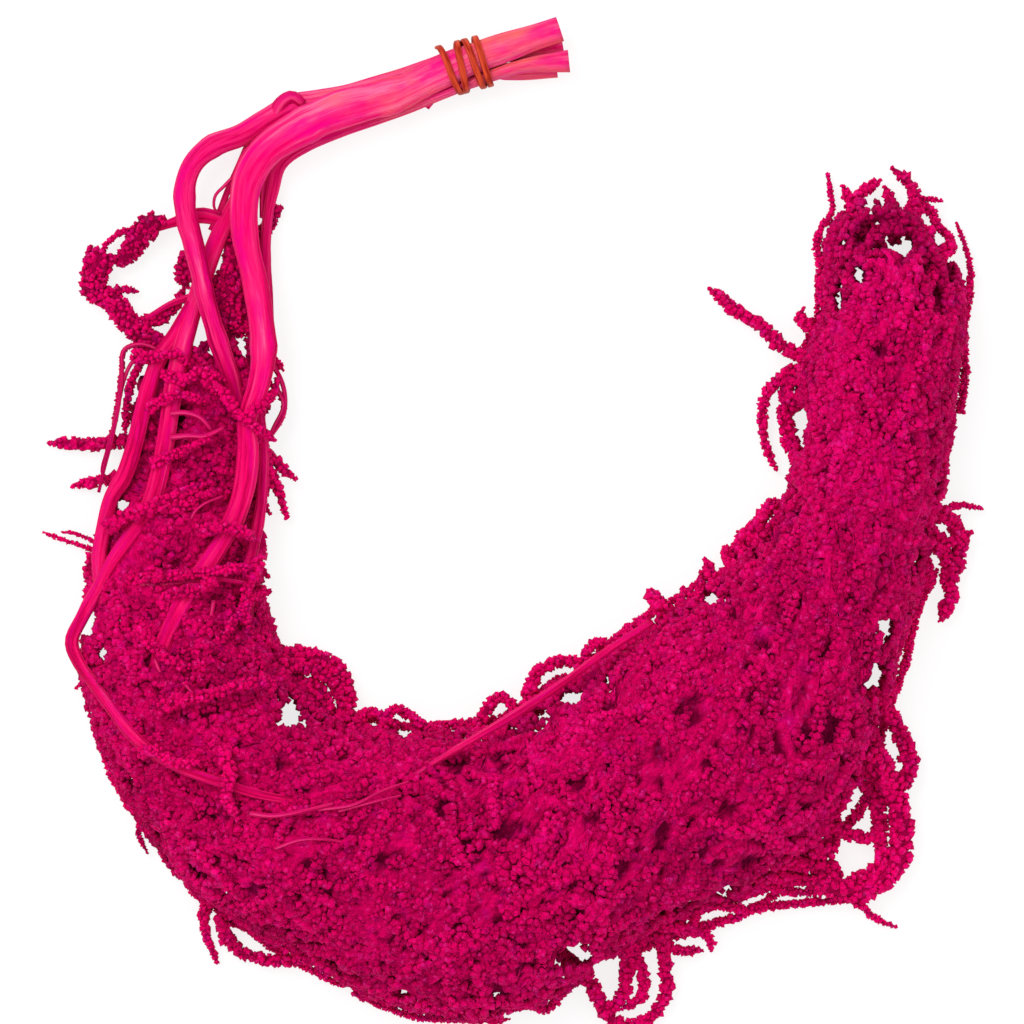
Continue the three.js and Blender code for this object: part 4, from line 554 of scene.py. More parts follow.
def over_mass(station, turn):
    """Points on the skin of the mass: between the edges at a station less their insets, at half the width
    times minus the cosine of pi times turn, and at the height times its sine to the power 0.8."""
    station, turn = np.broadcast_arrays(np.asarray(station, float), np.asarray(turn, float))
    outer = through(OUTER_EDGE, station)
    inner = through(INNER_EDGE, station)
    across = unit(inner - outer)
    outer = outer + across * at_station(OUTER_INSETS, station)[..., None]
    inner = inner - across * at_station(INNER_INSETS, station)[..., None]
    angle = np.pi * turn[..., None]
    point = (outer + inner) / 2 - (inner - outer) / 2 * np.cos(angle)
    point[..., 2] = at_station(HEIGHTS, station) * np.sin(np.clip(angle[..., 0], 0, np.pi)) ** ROUNDNESS
    return point


def slopes_over_mass(station, turn):
    """How the skin runs from a place: millimetres a station and a turn, and the direction outwards."""
    aside, round_it = 0.02, 0.003
    turn = np.clip(turn, 0.001 + round_it, 0.999 - round_it)
    station = np.clip(station, aside, LAST_STATION - aside)
    by_station = (over_mass(station + aside, turn) - over_mass(station - aside, turn)) / (2 * aside)
    by_turn = (over_mass(station, turn + round_it) - over_mass(station, turn - round_it)) / (2 * round_it)
    outwards = unit(np.cross(by_station, by_turn))
    outwards *= np.where(outwards[..., 2:] < 0, -1, 1)
    return by_station, by_turn, outwards


class Stems:
    """Where the stems run, for what has to keep clear of them: their paths, half widths and heights, and on
    a grid of the plan how high tassels may reach below them."""

    CELL = 0.5
    WIDEST = 9.5
    AROUND = 12

    def __init__(self):
        rows = []
        for name, routes in STEM_ROUTES.items():
            for number, route in enumerate(routes):
                table = np.array(route, float)
                where, path = evenly(table[:, :3], 1.0)
                halves = [at_points(table[:, column], where) / 2 for column in (3, 4)]
                shown = np.ones(len(where), bool)
                for covered, route_number, left, low, right, high in COVERED:
                    if covered == name and route_number == number:
                        inside = (path[:, 0] > left) & (path[:, 0] < right)
                        shown &= ~(inside & (path[:, 1] > low) & (path[:, 1] < high))
                rows.append(np.column_stack([place(path), *halves])[shown])
        rows = np.vstack(rows)
        self.low = rows[:, :2].min(axis=0) - self.AROUND
        size = np.ceil((rows[:, :2].max(axis=0) + self.AROUND - self.low) / self.CELL).astype(int) + 1
        self.ceiling = np.full(size, NO_STEM)
        reach = int(self.WIDEST / self.CELL)
        at = np.round((rows[:, :2] - self.low) / self.CELL).astype(int)
        for i in range(-reach, reach + 1):
            for j in range(-reach, reach + 1):
                spot = at + [i, j]
                apart = np.linalg.norm(spot * self.CELL + self.low - rows[:, :2], axis=1)
                near = apart < rows[:, 3] - 0.5
                top = rows[near, 2] - 0.25 * rows[near, 4]
                np.minimum.at(self.ceiling, (spot[near, 0], spot[near, 1]), top)

    def over(self, points):
        """How high tassels may reach at each point: below the middle of a stem that shows there."""
        at = np.round((points[:, :2] - self.low) / self.CELL).astype(int)
        inside = np.all((at >= 0) & (at < self.ceiling.shape), axis=1)
        at = np.clip(at, 0, np.array(self.ceiling.shape) - 1)
        return np.where(inside, self.ceiling[at[:, 0], at[:, 1]], NO_STEM)


def tassel_walks(rng, count, pitch, spans, bend, turns):
    """Routes of tassels over the mass, walked in twelve rounds, of which the last four are short ones. Each
    starts at a place drawn by the skin's area, with places that tassels already pass over much less likely.
    It heads along the hook give or take a random angle, sways by a sine of its own, and ends where it
    leaves the span. Returns station, turn, heading and whether it still runs, each (steps, count)."""
    steps, rounds_in_all, long_rounds = WALK_STEPS, 12, 8
    cells, crowding = (240, 48), -4.5
    starts, sizes = np.array([spans[0], turns[0]]), np.array([spans[1] - spans[0], turns[1] - turns[0]])
    middles = (
        start + size * (np.arange(number) + 0.5) / number for start, size, number in zip(starts, sizes, cells)
    )
    cells_s, cells_t = np.meshgrid(*middles, indexing="ij")
    by_station, by_turn, _ = slopes_over_mass(cells_s, cells_t)
    area = np.linalg.norm(np.cross(by_station, by_turn), axis=-1)
    laid = np.zeros(cells)
    rounds = []
    for number, chunk in enumerate(np.array_split(np.arange(count), rounds_in_all)):
        size = len(chunk)
        if size == 0:
            continue
        shortest, longest = (steps // 3, steps) if number < long_rounds else (5, steps // 3)
        weight = (area * np.exp(crowding * laid)).ravel()
        chosen = rng.choice(weight.size, size=size, p=weight / weight.sum())
        s, t = cells_s.ravel()[chosen], cells_t.ravel()[chosen]
        heading = rng.normal(0, bend, size) + np.where(rng.random(size) < 0.5, 0, np.pi)
        length = rng.integers(shortest, longest + 1, size)
        by_station, by_turn, _ = slopes_over_mass(s, t)
        back = pitch * length / 2
        s = np.clip(s - back * np.cos(heading) / np.linalg.norm(by_station, axis=-1), *spans)
        t = np.clip(t - back * np.sin(heading) / np.linalg.norm(by_turn, axis=-1), *turns)
        sway, rate = rng.uniform(0.2, 0.8, size), rng.uniform(0.1, 0.3, size)
        phase = rng.uniform(0, 6.3, size)
        walked, runs = [], np.ones(size, bool)
        for step in range(steps):
            angle = heading + sway * np.sin(phase + rate * step)
            on_span = (s > max(spans[0] - 0.6, 0)) & (s < min(spans[1] + 0.6, LAST_STATION))
            runs = runs & (step < length) & on_span
            s, t = np.clip(s, 0.02, LAST_STATION - 0.02), np.clip(t, *turns)
            walked.append((s, t, angle, runs))
            row, column = (
                np.clip((value - start) / room * cell_count, 0, cell_count - 1).astype(int)
                for value, start, room, cell_count in zip((s, t), starts, sizes, cells)
            )
            for beside, share in ((-1, 0.5), (0, 1.0), (1, 0.5)):
                at = np.clip(column + beside, 0, cells[1] - 1)
                np.add.at(laid, (row[runs], at[runs]), share)
            by_station, by_turn, _ = slopes_over_mass(s, t)
            s = s + pitch * np.cos(angle) / np.linalg.norm(by_station, axis=-1)
            t = t + pitch * np.sin(angle) / np.linalg.norm(by_turn, axis=-1)
        rounds.append([np.array(values) for values in zip(*walked)])
    return [np.concatenate(values, axis=1) for values in zip(*rounds)]


def knobs_on_walks(rng, walks, radius, depth, tint, around, arc, knob):
    """Centres of the knobs on walked tassels: whorls square to the walk, every second one turned by half a
    place, narrower towards both ends. Depth is how far the middle of each walk lies above the skin of the
    mass. Returns place (station, turn), centre, radius, tint and height over the skin of each, and its
    walk."""
    s, t, angle, runs = walks
    shape = s.shape
    step = np.arange(shape[0])[:, None]
    ends = np.minimum(step, runs.sum(axis=0)[None, :] - 1 - step).clip(0)
    taper = np.sqrt(np.clip((ends + 1.5) / 4, 0, 1))
    by_station, by_turn, outwards = slopes_over_mass(s, t)
    skin_point = over_mass(s, t)
    along_station, along_turn = unit(by_station), unit(by_turn)
    ahead = along_station * np.cos(angle)[..., None] + along_turn * np.sin(angle)[..., None]
    sideways = unit(np.cross(outwards, ahead))
    found = []
    for number in range(around):
        share = (number + 0.5 * (step % 2)) / max(around - 1, 1)
        turn_angle = np.radians(arc[0] + (arc[1] - arc[0]) * share) + rng.normal(0, 0.3, shape)
        reach = radius[None, :] * taper * rng.uniform(0.72, 1.25, shape)
        beside, above = reach * np.cos(turn_angle), reach * np.sin(turn_angle)
        shift = rng.normal(0, 0.3 * knob, shape)
        move = sideways * beside[..., None] + np.cross(sideways, outwards) * shift[..., None]
        centre = skin_point + move + outwards * (depth + above)[..., None]
        s_at = s + np.einsum("...i,...i", move, along_station) / np.linalg.norm(by_station, axis=-1)
        t_at = t + np.einsum("...i,...i", move, along_turn) / np.linalg.norm(by_turn, axis=-1)
        size = knob * rng.uniform(0.66, 1.3, shape) * (0.7 + 0.3 * taper)
        knob_tint = np.broadcast_to(tint, shape) + rng.normal(0, 0.13, shape)
        keep = runs & (rng.random(shape) > 0.1)
        walk = np.broadcast_to(np.arange(shape[1]), shape)
        found.append([values[keep] for values in (s_at, t_at, centre, size, knob_tint, depth + above, walk)])
    return [np.concatenate(values) for values in zip(*found)]


def within(gap, points, margin=0.0):
    """Whether points lie inside the ellipse of a gap on the plan, grown by a margin."""
    x, y, half_x, half_y = gap
    apart = points[:, :2] - place([(x, y, 0)])[0, :2]
    return np.sum((apart / [half_x + margin, half_y + margin]) ** 2, axis=1) < 1


def in_gap(points):
    """Whether points lie in any gap."""
    return np.any([within(gap, points) for gap in GAPS], axis=0)


def relief_edges(stations):
    """Where the relief of the mass begins and ends across each station, as turns. Both edges waver by
    sines, and are drawn in as far as each gap reaches that lies near them."""
    low = 0.125 + 0.025 * np.sin(stations * 9.1) + 0.02 * np.sin(stations * 23.0 + 1)
    high = 0.875 - 0.025 * np.sin(stations * 8.3 + 2) - 0.02 * np.sin(stations * 21.0)
    net_s, net_t = np.meshgrid(np.linspace(0, LAST_STATION, 500), np.linspace(0, 1, 200), indexing="ij")
    net = over_mass(net_s, net_t).reshape(-1, 3)
    for gap in GAPS:
        hit = within(gap, net, 0.6)
        if not hit.any():
            continue
        s_hit, t_hit = net_s.ravel()[hit], net_t.ravel()[hit]
        beyond = np.maximum(np.maximum(s_hit.min() - stations, stations - s_hit.max()), 0)
        weight = np.clip(1 - beyond / 0.14, 0, 1)
        if t_hit.max() < 0.42:
            low = np.maximum(low, weight * (t_hit.max() + 0.01))
        elif t_hit.min() > 0.58:
            high = np.minimum(high, 1 - weight * (1.01 - t_hit.min()))
    return low, high


# The stations between which the mass has its packed relief.
RELIEF_SPAN = (0.35, 17.7)


def packed_relief(span, turns, knobs_packed, settings, stems, rng):
    """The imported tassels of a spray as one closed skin. Its outer side is a grid on the skin of the mass:
    each corner is raised along the outward direction to the highest knob over it, where a knob of radius r
    whose centre is a beside the corner's line and h up reaches h + sqrt(r^2 - a^2). Its underside is a
    coarse row."""
    (s0, s1), (t0, t1) = span, turns
    overlap, reach, below, pits = 0.02, 3, 12, settings.pits / MM
    s0, s1 = max(s0 - overlap, RELIEF_SPAN[0]), min(s1 + overlap, RELIEF_SPAN[1])
    rows, columns = (
        int(np.linalg.norm(np.diff(over_mass(*line), axis=0), axis=1).sum() / (settings.grid / MM)) + 2
        for line in (
            (np.linspace(s0, s1, 20), np.full(20, (t0 + t1) / 2)),
            (np.full(20, (s0 + s1) / 2), np.linspace(t0, t1, 20)),
        )
    )
    s_line = np.linspace(s0, s1, rows)
    low, high = relief_edges(s_line)
    low = np.minimum(low, t1 - 0.12) if t0 == 0 else np.full(rows, t0 - 0.006)
    high = np.maximum(high, t0 + 0.12) if t1 == 1 else np.full(rows, t1 + 0.006)
    s = np.broadcast_to(s_line[:, None], (rows, columns))
    t = low[:, None] + (high - low)[:, None] * np.linspace(0, 1, columns)[None, :]
    skin_point = over_mass(s, t)
    # The mass lies lower over its first stations, and is rounded off at its last.
    skin_point[..., 2] *= 0.45 + 0.55 * np.clip(s / 3.4, 0, 1) ** 1.6
    skin_point[..., 2] *= np.sqrt(np.clip((RELIEF_SPAN[1] + overlap - s) / 0.9, 0.02, 1))
    outwards = slopes_over_mass(s, t)[2]
    raised = -pits * (0.85 + 0.3 * rng.random((rows, columns)))
    # Corners that no knob reaches are pits. Their low tint of 0.15 picks the deep colour, which is painted
    # shade in the pits.
    tint = np.full((rows, columns), 0.15)

    ks, kt, centre, radius, knob_tint = knobs_packed
    i_at = np.round((ks - s0) / (s_line[1] - s_line[0])).astype(int)
    row_of = np.clip(i_at, 0, rows - 1)
    j_at = np.round((kt - low[row_of]) / (high - low)[row_of] * (columns - 1)).astype(int)
    near = (i_at >= -reach) & (i_at < rows + reach + 1) & (j_at >= -reach) & (j_at < columns + reach + 1)
    i_at, j_at, centre, radius, knob_tint = (x[near] for x in (i_at, j_at, centre, radius, knob_tint))
    tries = []
    for di in range(-reach, reach + 1):
        for dj in range(-reach, reach + 1):
            i, j = i_at + di, j_at + dj
            ok = (i >= 0) & (i < rows) & (j >= 0) & (j < columns)
            i, j = i[ok], j[ok]
            apart = centre[ok] - skin_point[i, j]
            up = np.einsum("ij,ij->i", apart, outwards[i, j])
            beside = np.sum(apart**2, axis=1) - up**2
            hit = beside < radius[ok] ** 2
            i, j = i[hit], j[hit]
            height = up[hit] + np.sqrt(radius[ok][hit] ** 2 - beside[hit])
            np.maximum.at(raised, (i, j), height)
            tries.append((i, j, height, knob_tint[ok][hit]))
    for i, j, height, value in tries:
        top = height >= raised[i, j] - 1e-9
        tint[i[top], j[top]] = value[top]

    corner = skin_point + outwards * raised[..., None]
    corner += rng.normal(0, settings.grain / MM, corner.shape)
    limit = stems.over(corner.reshape(-1, 3)).reshape(rows, columns)
    shadowed_by_stem = corner[..., 2] > limit
    corner[..., 2] = np.clip(np.minimum(corner[..., 2], limit), 0.12, None)
    # Painted shade: the lower a corner lies, the darker its colour. Corners under a stem that shows are
    # darkened further, a painted shadow of the stem.
    shade = np.clip(0.95 + (raised + 1.0) / pits, 0.26, 0.8) * np.where(shadowed_by_stem, 0.7, 1)

    share = np.linspace(0, 1, below + 2)[1:-1][None, :, None]
    row = corner[:, -1:] * (1 - share) + corner[:, :1] * share
    row[..., 2] = 0.4 + 1.6 * rng.random(row.shape[:2]) * np.sin(np.pi * share[..., 0])
    corners, triangles = skin(np.concatenate([corner, row], axis=1))
    # The underside rows and the end corners get a low tint and a low shade: painted shade under the mass.
    tints, shades = (
        np.append(np.concatenate([values, np.full((rows, below), under)], axis=1).ravel(), [ends, ends])
        for values, under, ends in ((tint, 0.3, 0.3), (shade, 0.39, 0.4))
    )
    return corners, triangles, tints, shades


def core_skin(path, radius):
    """The thin core of a tassel: a tube of four sides and half the tassel's radius, closed to a point at
    its ends."""
    step = np.arange(len(path))
    taper = np.sqrt(np.clip(np.minimum(step, step[::-1]) / 4, 0.1, 1))
    corners, triangles = tube(path, 0.5 * radius * taper, 4)
    corners[:, 2] = corners[:, 2].clip(0.2)
    return corners, triangles


# Between which stations the inner rim is bare, how far apart rows along an edge lie, and how many loops an
# edge has.
BARE_RIM = (10.8, 13.5)
ROW_SPACING = 5.2
EDGE_LOOPS = 28


def edge_tassels(rng):
    """Routes of the single tassels that lie round the mass, as radius, tip, points, station and turn. Some
    run along an edge in up to three rows, swaying by sines, and others loop out of the mass to the edge and
    back by a half sine. The bare part of the inner rim has none of the outermost row."""
    found = []
    for edge, other, insets, turn, least in (
        (OUTER_EDGE, INNER_EDGE, OUTER_INSETS, 0.02, 2.9), (INNER_EDGE, OUTER_EDGE, INNER_INSETS, 0.98, 3.9),
    ):
        def at(station, inward, height):
            """Points at these stations, so far in from the edge towards the other one, at these heights."""
            point = through(edge, station)
            inwards = unit(through(other, station) - point)
            point = point + inwards * inward[:, None]
            point[:, 2] = height
            return point

        for row in range(3):
            start = 3.4 + rng.uniform(0, 0.6)
            while start < LAST_STATION - 2.2:
                end = min(start + rng.uniform(0.9, 2.1), LAST_STATION - 1.3)
                middle = (start + end) / 2
                room = at_station(insets, middle)
                bare = turn > 0.5 and row == 0 and BARE_RIM[0] < middle < BARE_RIM[1]
                if room > ROW_SPACING * row + least - 0.9 and not bare:
                    station = np.linspace(start, end, 12)
                    phase = rng.uniform(0, 6.3, 2)
                    inward = least + ROW_SPACING * row + 1.3 * np.sin(station * 4.2 + phase[0])
                    inward = np.clip(inward, least - 0.6, room + 2)
                    height = 3.0 + 2.2 * row + 1.0 * np.sin(station * 5 + phase[1])
                    found.append((rng.uniform(1.5, 2.2), 0.7, at(station, inward, height), middle, turn))
                start = end + rng.uniform(-0.1, 0.3)
        for _ in range(EDGE_LOOPS):
            middle = rng.uniform(3.6, LAST_STATION - 1.6)
            share = np.linspace(0, 1, 9)
            reach = rng.uniform(0.12, 0.42) * rng.choice([-1, 1])
            out = np.sin(np.pi * share)
            inward = (at_station(insets, middle) + 5) * (1 - out) + (least + rng.uniform(-0.5, 1.4)) * out
            height = 12 * (1 - out) + rng.uniform(3, 6) * out
            station = np.clip(middle + reach * (share - 0.5), 0.1, LAST_STATION - 0.1)
            found.append((rng.uniform(1.6, 2.3), 0.7, at(station, inward, height), middle, turn))
    return found


def strand_parts(parts, radius, tip, route, settings, rng, tint, largest=1.0):
    """A tassel on a route of its own: a core that its knobs are half sunk in, and knobs in whorls round it,
    every second one turned by half a place, out to its radius, which runs evenly down to its tip. No knob
    is larger than the largest share of a full one."""
    radius, tip = radius * (1.18 if radius > 1.6 else 1.05), 0.3 + 0.7 * tip
    knob = float(np.clip(0.45 * radius, settings.least_knob / MM, largest * settings.knob / MM))
    _, path = evenly(route, 1.45 * knob)
    count = len(path)
    share = np.linspace(0, 1, count)
    full = radius * (1 + (tip - 1) * share) * np.sqrt(np.clip((1 - share) * count / 2.5 + 0.25, 0, 1))
    slimmer = np.clip(full / radius, 0.55, 1)
    base = tint + rng.normal(0, 0.07)
    corners, triangles = tube(path, np.maximum(0.45 * full, full - 0.95 * knob * slimmer), 5)
    corners[:, 2] = corners[:, 2].clip(0.1)
    # The core gets a lower tint and a shade of 0.55: painted shade inside the tassel, among its knobs.
    parts.add(corners, triangles, base - 0.25, 0.55)
    around = max(3, int(round(2 * np.pi * 0.64 * radius / (1.55 * knob))))
    shape = (count, around)
    places = np.arange(around)[None, :] + 0.5 * (np.arange(count) % 2)[:, None]
    angle = 2 * np.pi * places / around + rng.normal(0, 0.28, shape)
    reach = np.clip(full - 0.8 * knob, 0.2, None)[:, None] + knob * rng.uniform(-0.35, 0.3, shape)
    along, side, up = square_to(path)
    centre = path[:, None] + side[:, None] * (reach * np.cos(angle))[..., None]
    centre = centre + up[:, None] * (reach * np.sin(angle))[..., None]
    centre = centre + along[:, None] * rng.normal(0, 0.3 * knob, (*shape, 1))
    size = (knob * rng.uniform(0.7, 1.25, shape) * slimmer[:, None]).ravel()
    centre = centre.reshape(-1, 3)
    centre[:, 2] = np.maximum(centre[:, 2], 0.55 * size)
    keep = rng.random(len(size)) > 0.05
    centre, size = centre[keep], size[keep]
    add_knobs(parts, centre, size, base + rng.normal(0, 0.13, len(size)), 1.0, 0.05, rng)


# ---- materials ----


class Dye:
    """A material whose nodes are added one by one, each with values set or with sockets linked."""

    def __init__(self, name, roughness):
        self.material = bpy.data.materials.new(name)
        self.material.use_nodes = True
        self.tree = self.material.node_tree
        self.shader = self.tree.nodes["Principled BSDF"]
        self.put(self.shader, {"Roughness": roughness})

    def put(self, node, values):
        """Links or sets each of these sockets of a node. A colour of three numbers is opaque."""
        for socket, value in values.items():
            if isinstance(value, bpy.types.NodeSocket):
                self.tree.links.new(value, node.inputs[socket])
            elif node.inputs[socket].type == "RGBA":
                node.inputs[socket].default_value = (*value, 1)
            else:
                node.inputs[socket].default_value = value

    def add(self, kind, values, output, **fields):
        """A new node with these fields and values, by one of its outputs."""
        node = self.tree.nodes.new("ShaderNode" + kind)
        for field, value in fields.items():
            setattr(node, field, value)
        self.put(node, values)
        return node.outputs[output]

    def noise(self, vector, scale, detail, rough=0.5):
        """A noise texture."""
        values = {"Vector": vector, "Scale": scale, "Detail": detail, "Roughness": rough}
        return self.add("TexNoise", values, "Fac")

    def math(self, operation, *values):
        """A sum on numbers."""
        return self.add("Math", dict(enumerate(values)), 0, operation=operation)

    def times(self, value, factor, rest):
        """A value times a factor, and the rest on top."""
        return self.math("MULTIPLY_ADD", value, factor, rest)

    def between(self, value, low, high, to_high, to_low=0.0):
        """A value mapped from low and high to two others."""
        values = {"Value": value, "From Min": low, "From Max": high, "To Min": to_low, "To Max": to_high}
        return self.add("MapRange", values, "Result")

    def mix(self, share, first, second, blend="MIX"):
        """Two colours mixed by a share."""
        return self.add("Mix", {0: share, 6: first, 7: second}, 2, data_type="RGBA", blend_type=blend)

    def ramp(self, level, stops):
        """A colour chosen by a level, from stops of place and colour."""
        colours = self.add("ValToRGB", {"Fac": level}, "Color")
        elements = colours.node.color_ramp.elements
        elements.remove(elements[1])
        elements[0].position, elements[0].color = stops[0][0], (*stops[0][1], 1)
        for position, colour in stops[1:]:
            elements.new(position).color = (*colour, 1)
        return colours

    def finish(self, colour, height, strength, distance, shine, shine_tint):
        """Links the colour and the bump, sets how it shines, and gives the material."""
        bump = self.add("Bump", {"Height": height, "Strength": strength, "Distance": distance}, "Normal")
        self.put(self.shader, {
            "Base Color": colour, "Normal": bump, "Specular IOR Level": shine, "Specular Tint": shine_tint,
        })
        return self.material


def tassel_material(settings):
    """Dyed florets: the tint of each knob and two noises choose the colour from deep to bright, some
    patches turn violet, painted shade in the mesh darkens pits, low clusters and cores, and beads and
    grain roughen it."""
    dye = Dye("dyed_florets", settings.roughness)
    place_of = dye.add("TexCoord", {}, "Object")
    tint, shade = (dye.add("Attribute", {}, "Fac", attribute_name=name) for name in ("tint", "shade"))
    broad, grain, violet = (
        dye.noise(place_of, *kind) for kind in ((26, 3), (900, 4, 0.7), (150, 4))
    )
    level = dye.math("ADD", tint, dye.times(broad, 1.1, -0.55))
    level = dye.math("ADD", level, dye.times(grain, 1.3, -0.65))
    florets = dye.add("TexVoronoi", {"Vector": place_of, "Scale": 820}, "Color")
    each = dye.add("SeparateColor", {"Color": florets}, "Red")
    level = dye.math("SUBTRACT", dye.times(each, 0.4, level), 0.2)
    colour = dye.ramp(level, [
        (0.0, settings.deep), (0.45, settings.middle), (0.8, settings.bright), (1.0, settings.lightest),
    ])
    colour = dye.mix(dye.between(violet, 0.56, 0.7, 0.4), colour, settings.violet)
    colour = dye.mix(dye.between(each.node.outputs["Green"], 0.9, 1.0, 0.6), colour, settings.dry)
    # Painted shade: the colour is multiplied by the shade stored in the mesh.
    colour = dye.mix(1.0, colour, shade, "MULTIPLY")
    dye.put(dye.shader, {"Sheen Weight": 0.12, "Sheen Roughness": 0.5, "Sheen Tint": (1.0, 0.01, 0.4)})
    rough = dye.times(florets.node.outputs["Distance"], -1.2, grain)
    return dye.finish(colour, rough, 0.9, 0.0008, 0.3, (1.0, 0.02, 0.35))


def stem_material(kind, settings):
    """A dyed, ribbed stem: streaks of two widths that run along it, from its UV map whose U is the length
    in metres and whose V is once round it; pale ribs and deep grooves; blotches where the dye pooled; the
    dry stem showing near the cut ends; and small scars."""
    light, deep = getattr(settings, kind), getattr(settings, kind + "_deep")
    dye = Dye("dyed_stem_" + kind, settings.roughness)
    uv = dye.add("UVMap", {}, "UV", uv_map=UV_NAME)

    def streaks(along, round_it, shift=0.0, detail=4, rough=0.6):
        """A noise drawn out along the stem: so many waves along a metre, and so many once round."""
        drawn = {"Vector": uv, "Scale": (along, round_it, 1), "Location": (shift, shift, 0)}
        return dye.noise(dye.add("Mapping", drawn, "Vector"), 1, detail, rough)

    streak, fine, wide = streaks(16, 16), streaks(34, 52, 3.7, rough=0.7), streaks(13, 4, 8.1)
    blotch, dry = streaks(38, 7, 5.3), streaks(30, 2.2, 1.3, detail=3)
    speck = dye.noise(dye.add("TexCoord", {}, "Object"), 700, 3, 0.6)
    ridge = dye.add("Attribute", {}, "Fac", attribute_name="tint")
    near_cut = dye.between(dye.add("SeparateXYZ", {"Vector": uv}, "X"), 0.06, 0.22, -0.06, 0.25)
    level = -1.02
    for value, weight in ((streak, 0.8), (fine, 0.7), (wide, 1.5), (ridge, 0.14)):
        level = dye.times(value, weight, level)
    level = dye.math("ADD", level, near_cut)
    colour = dye.ramp(level, [(0.18, deep), (0.42, light), (0.66, settings.pale), (0.9, settings.rubbed)])
    colour = dye.mix(dye.between(blotch, 0.5, 0.64, 0.8), colour, settings.pooled)
    warmer = dye.math("ADD", dye.times(near_cut, 1.5, -0.18), dry)
    colour = dye.mix(dye.between(warmer, 0.64, 0.88, 0.7), colour, settings.warm)
    colour = dye.mix(dye.between(speck, 0.68, 0.78, 0.5), colour, deep)
    rough = dye.times(fine, 1.2, dye.times(speck, 0.3, streak))
    return dye.finish(colour, rough, 0.8, 0.0011, 0.14, (1.0, 0.08, 0.4))


def band_material(settings):
    """Orange-brown elastic: fine ridges along the strand from its UV map, and a little darkening by noise."""
    dye = Dye("elastic", settings.roughness)
    drawn = {"Vector": dye.add("UVMap", {}, "UV", uv_map=UV_NAME), "Scale": (6, 8, 1)}
    ridges = dye.noise(dye.add("Mapping", drawn, "Vector"), 1, 3)
    colour = dye.ramp(ridges, [(0.36, settings.deep), (0.62, settings.bright)])
    return dye.finish(colour, ridges, 0.6, 0.0006, 0.25, (1.0, 0.4, 0.3))


# ---- stems and tie ----


def stem_skin(route, settings, rng):
    """A flattened, ribbed stem: at an angle v round it the section is half the width times cos v to the
    power 0.8 and half the thickness times sin v to the same power, less a rib's depth times a cosine of
    several times v, which drifts slowly along the stem. It swells by a noise along its length. Returns
    corners, triangles, UV and tint of each corner."""
    table = np.array(route, float)
    where, path = evenly(table[:, :3], settings.step / MM)
    path = place(path)
    width, thick = (at_points(table[:, column], where)[:, None] for column in (3, 4))
    _, side, up = square_to(path)
    run = np.concatenate([[0], np.cumsum(np.linalg.norm(np.diff(path, axis=0), axis=1))])
    sides, ribs = 36, 9
    v = 2 * np.pi * (np.arange(sides) + 0.5) / sides
    drift = np.cumsum(rng.normal(0, 0.012, len(path)))[:, None] * 3
    groove = 0.5 - 0.5 * np.cos(ribs * v[None, :] + drift + 0.8 * np.sin(2 * v[None, :]))
    strength = 0.55 + 0.45 * np.sin(3 * v[None, :] + rng.uniform(0, 6) + run[:, None] / 26)
    deep = settings.ribs * groove**2 * strength
    knot = run[-1] * rng.random(max(1, int(run[-1] / 45)))
    swell = 1 + 0.09 * np.exp(-(((run[:, None] - knot[None, :]) / 3.0) ** 2)).sum(axis=1)
    for wave, length in ((0.035, 9), (0.02, 3.7)):
        swell = swell + wave * np.sin(run / length + rng.uniform(0, 6))
    swell = swell[:, None]
    a = width / 2 * flattened(np.cos(v)[None, :], ROUNDNESS) * (1 - deep) * swell
    b = thick / 2 * flattened(np.sin(v)[None, :], ROUNDNESS) * (1 - deep * 1.1) * swell
    corners, triangles = skin(path[:, None] + side[:, None] * a[..., None] + up[:, None] * b[..., None])
    tint = np.concatenate([(1 - groove).ravel() - 0.5, [0.9, 0.2]])
    return corners, triangles, wrapped(run * MM, v / (2 * np.pi)), tint


def flattened(value, power):
    """A sine or cosine with its size to a power, which rounds a box off."""
    return np.sign(value) * np.abs(value) ** power


def wrapped(run, round_it):
    """The UV of each corner of a skin: how far along, and how far round. Its two end corners take those
    beside."""
    uv = np.stack(np.broadcast_arrays(run[:, None], round_it[None, :]), axis=-1).reshape(-1, 2)
    return np.vstack([uv, uv[:1], uv[-1:]])


# The band: its middle, how far the bundle leans, where along it each turn lies on top and below, and half
# its size.
BAND_MIDDLE = (186, 26.2, 8.6)
BAND_LEAN = 0.26
BAND_TURNS = [(-8.6, -4.2), (-0.6, -2.4), (2.2, 5.0), (6.6, 8.0)]
BAND_HALF = (10.1, 8.2)
BAND_ROUNDNESS = 0.7


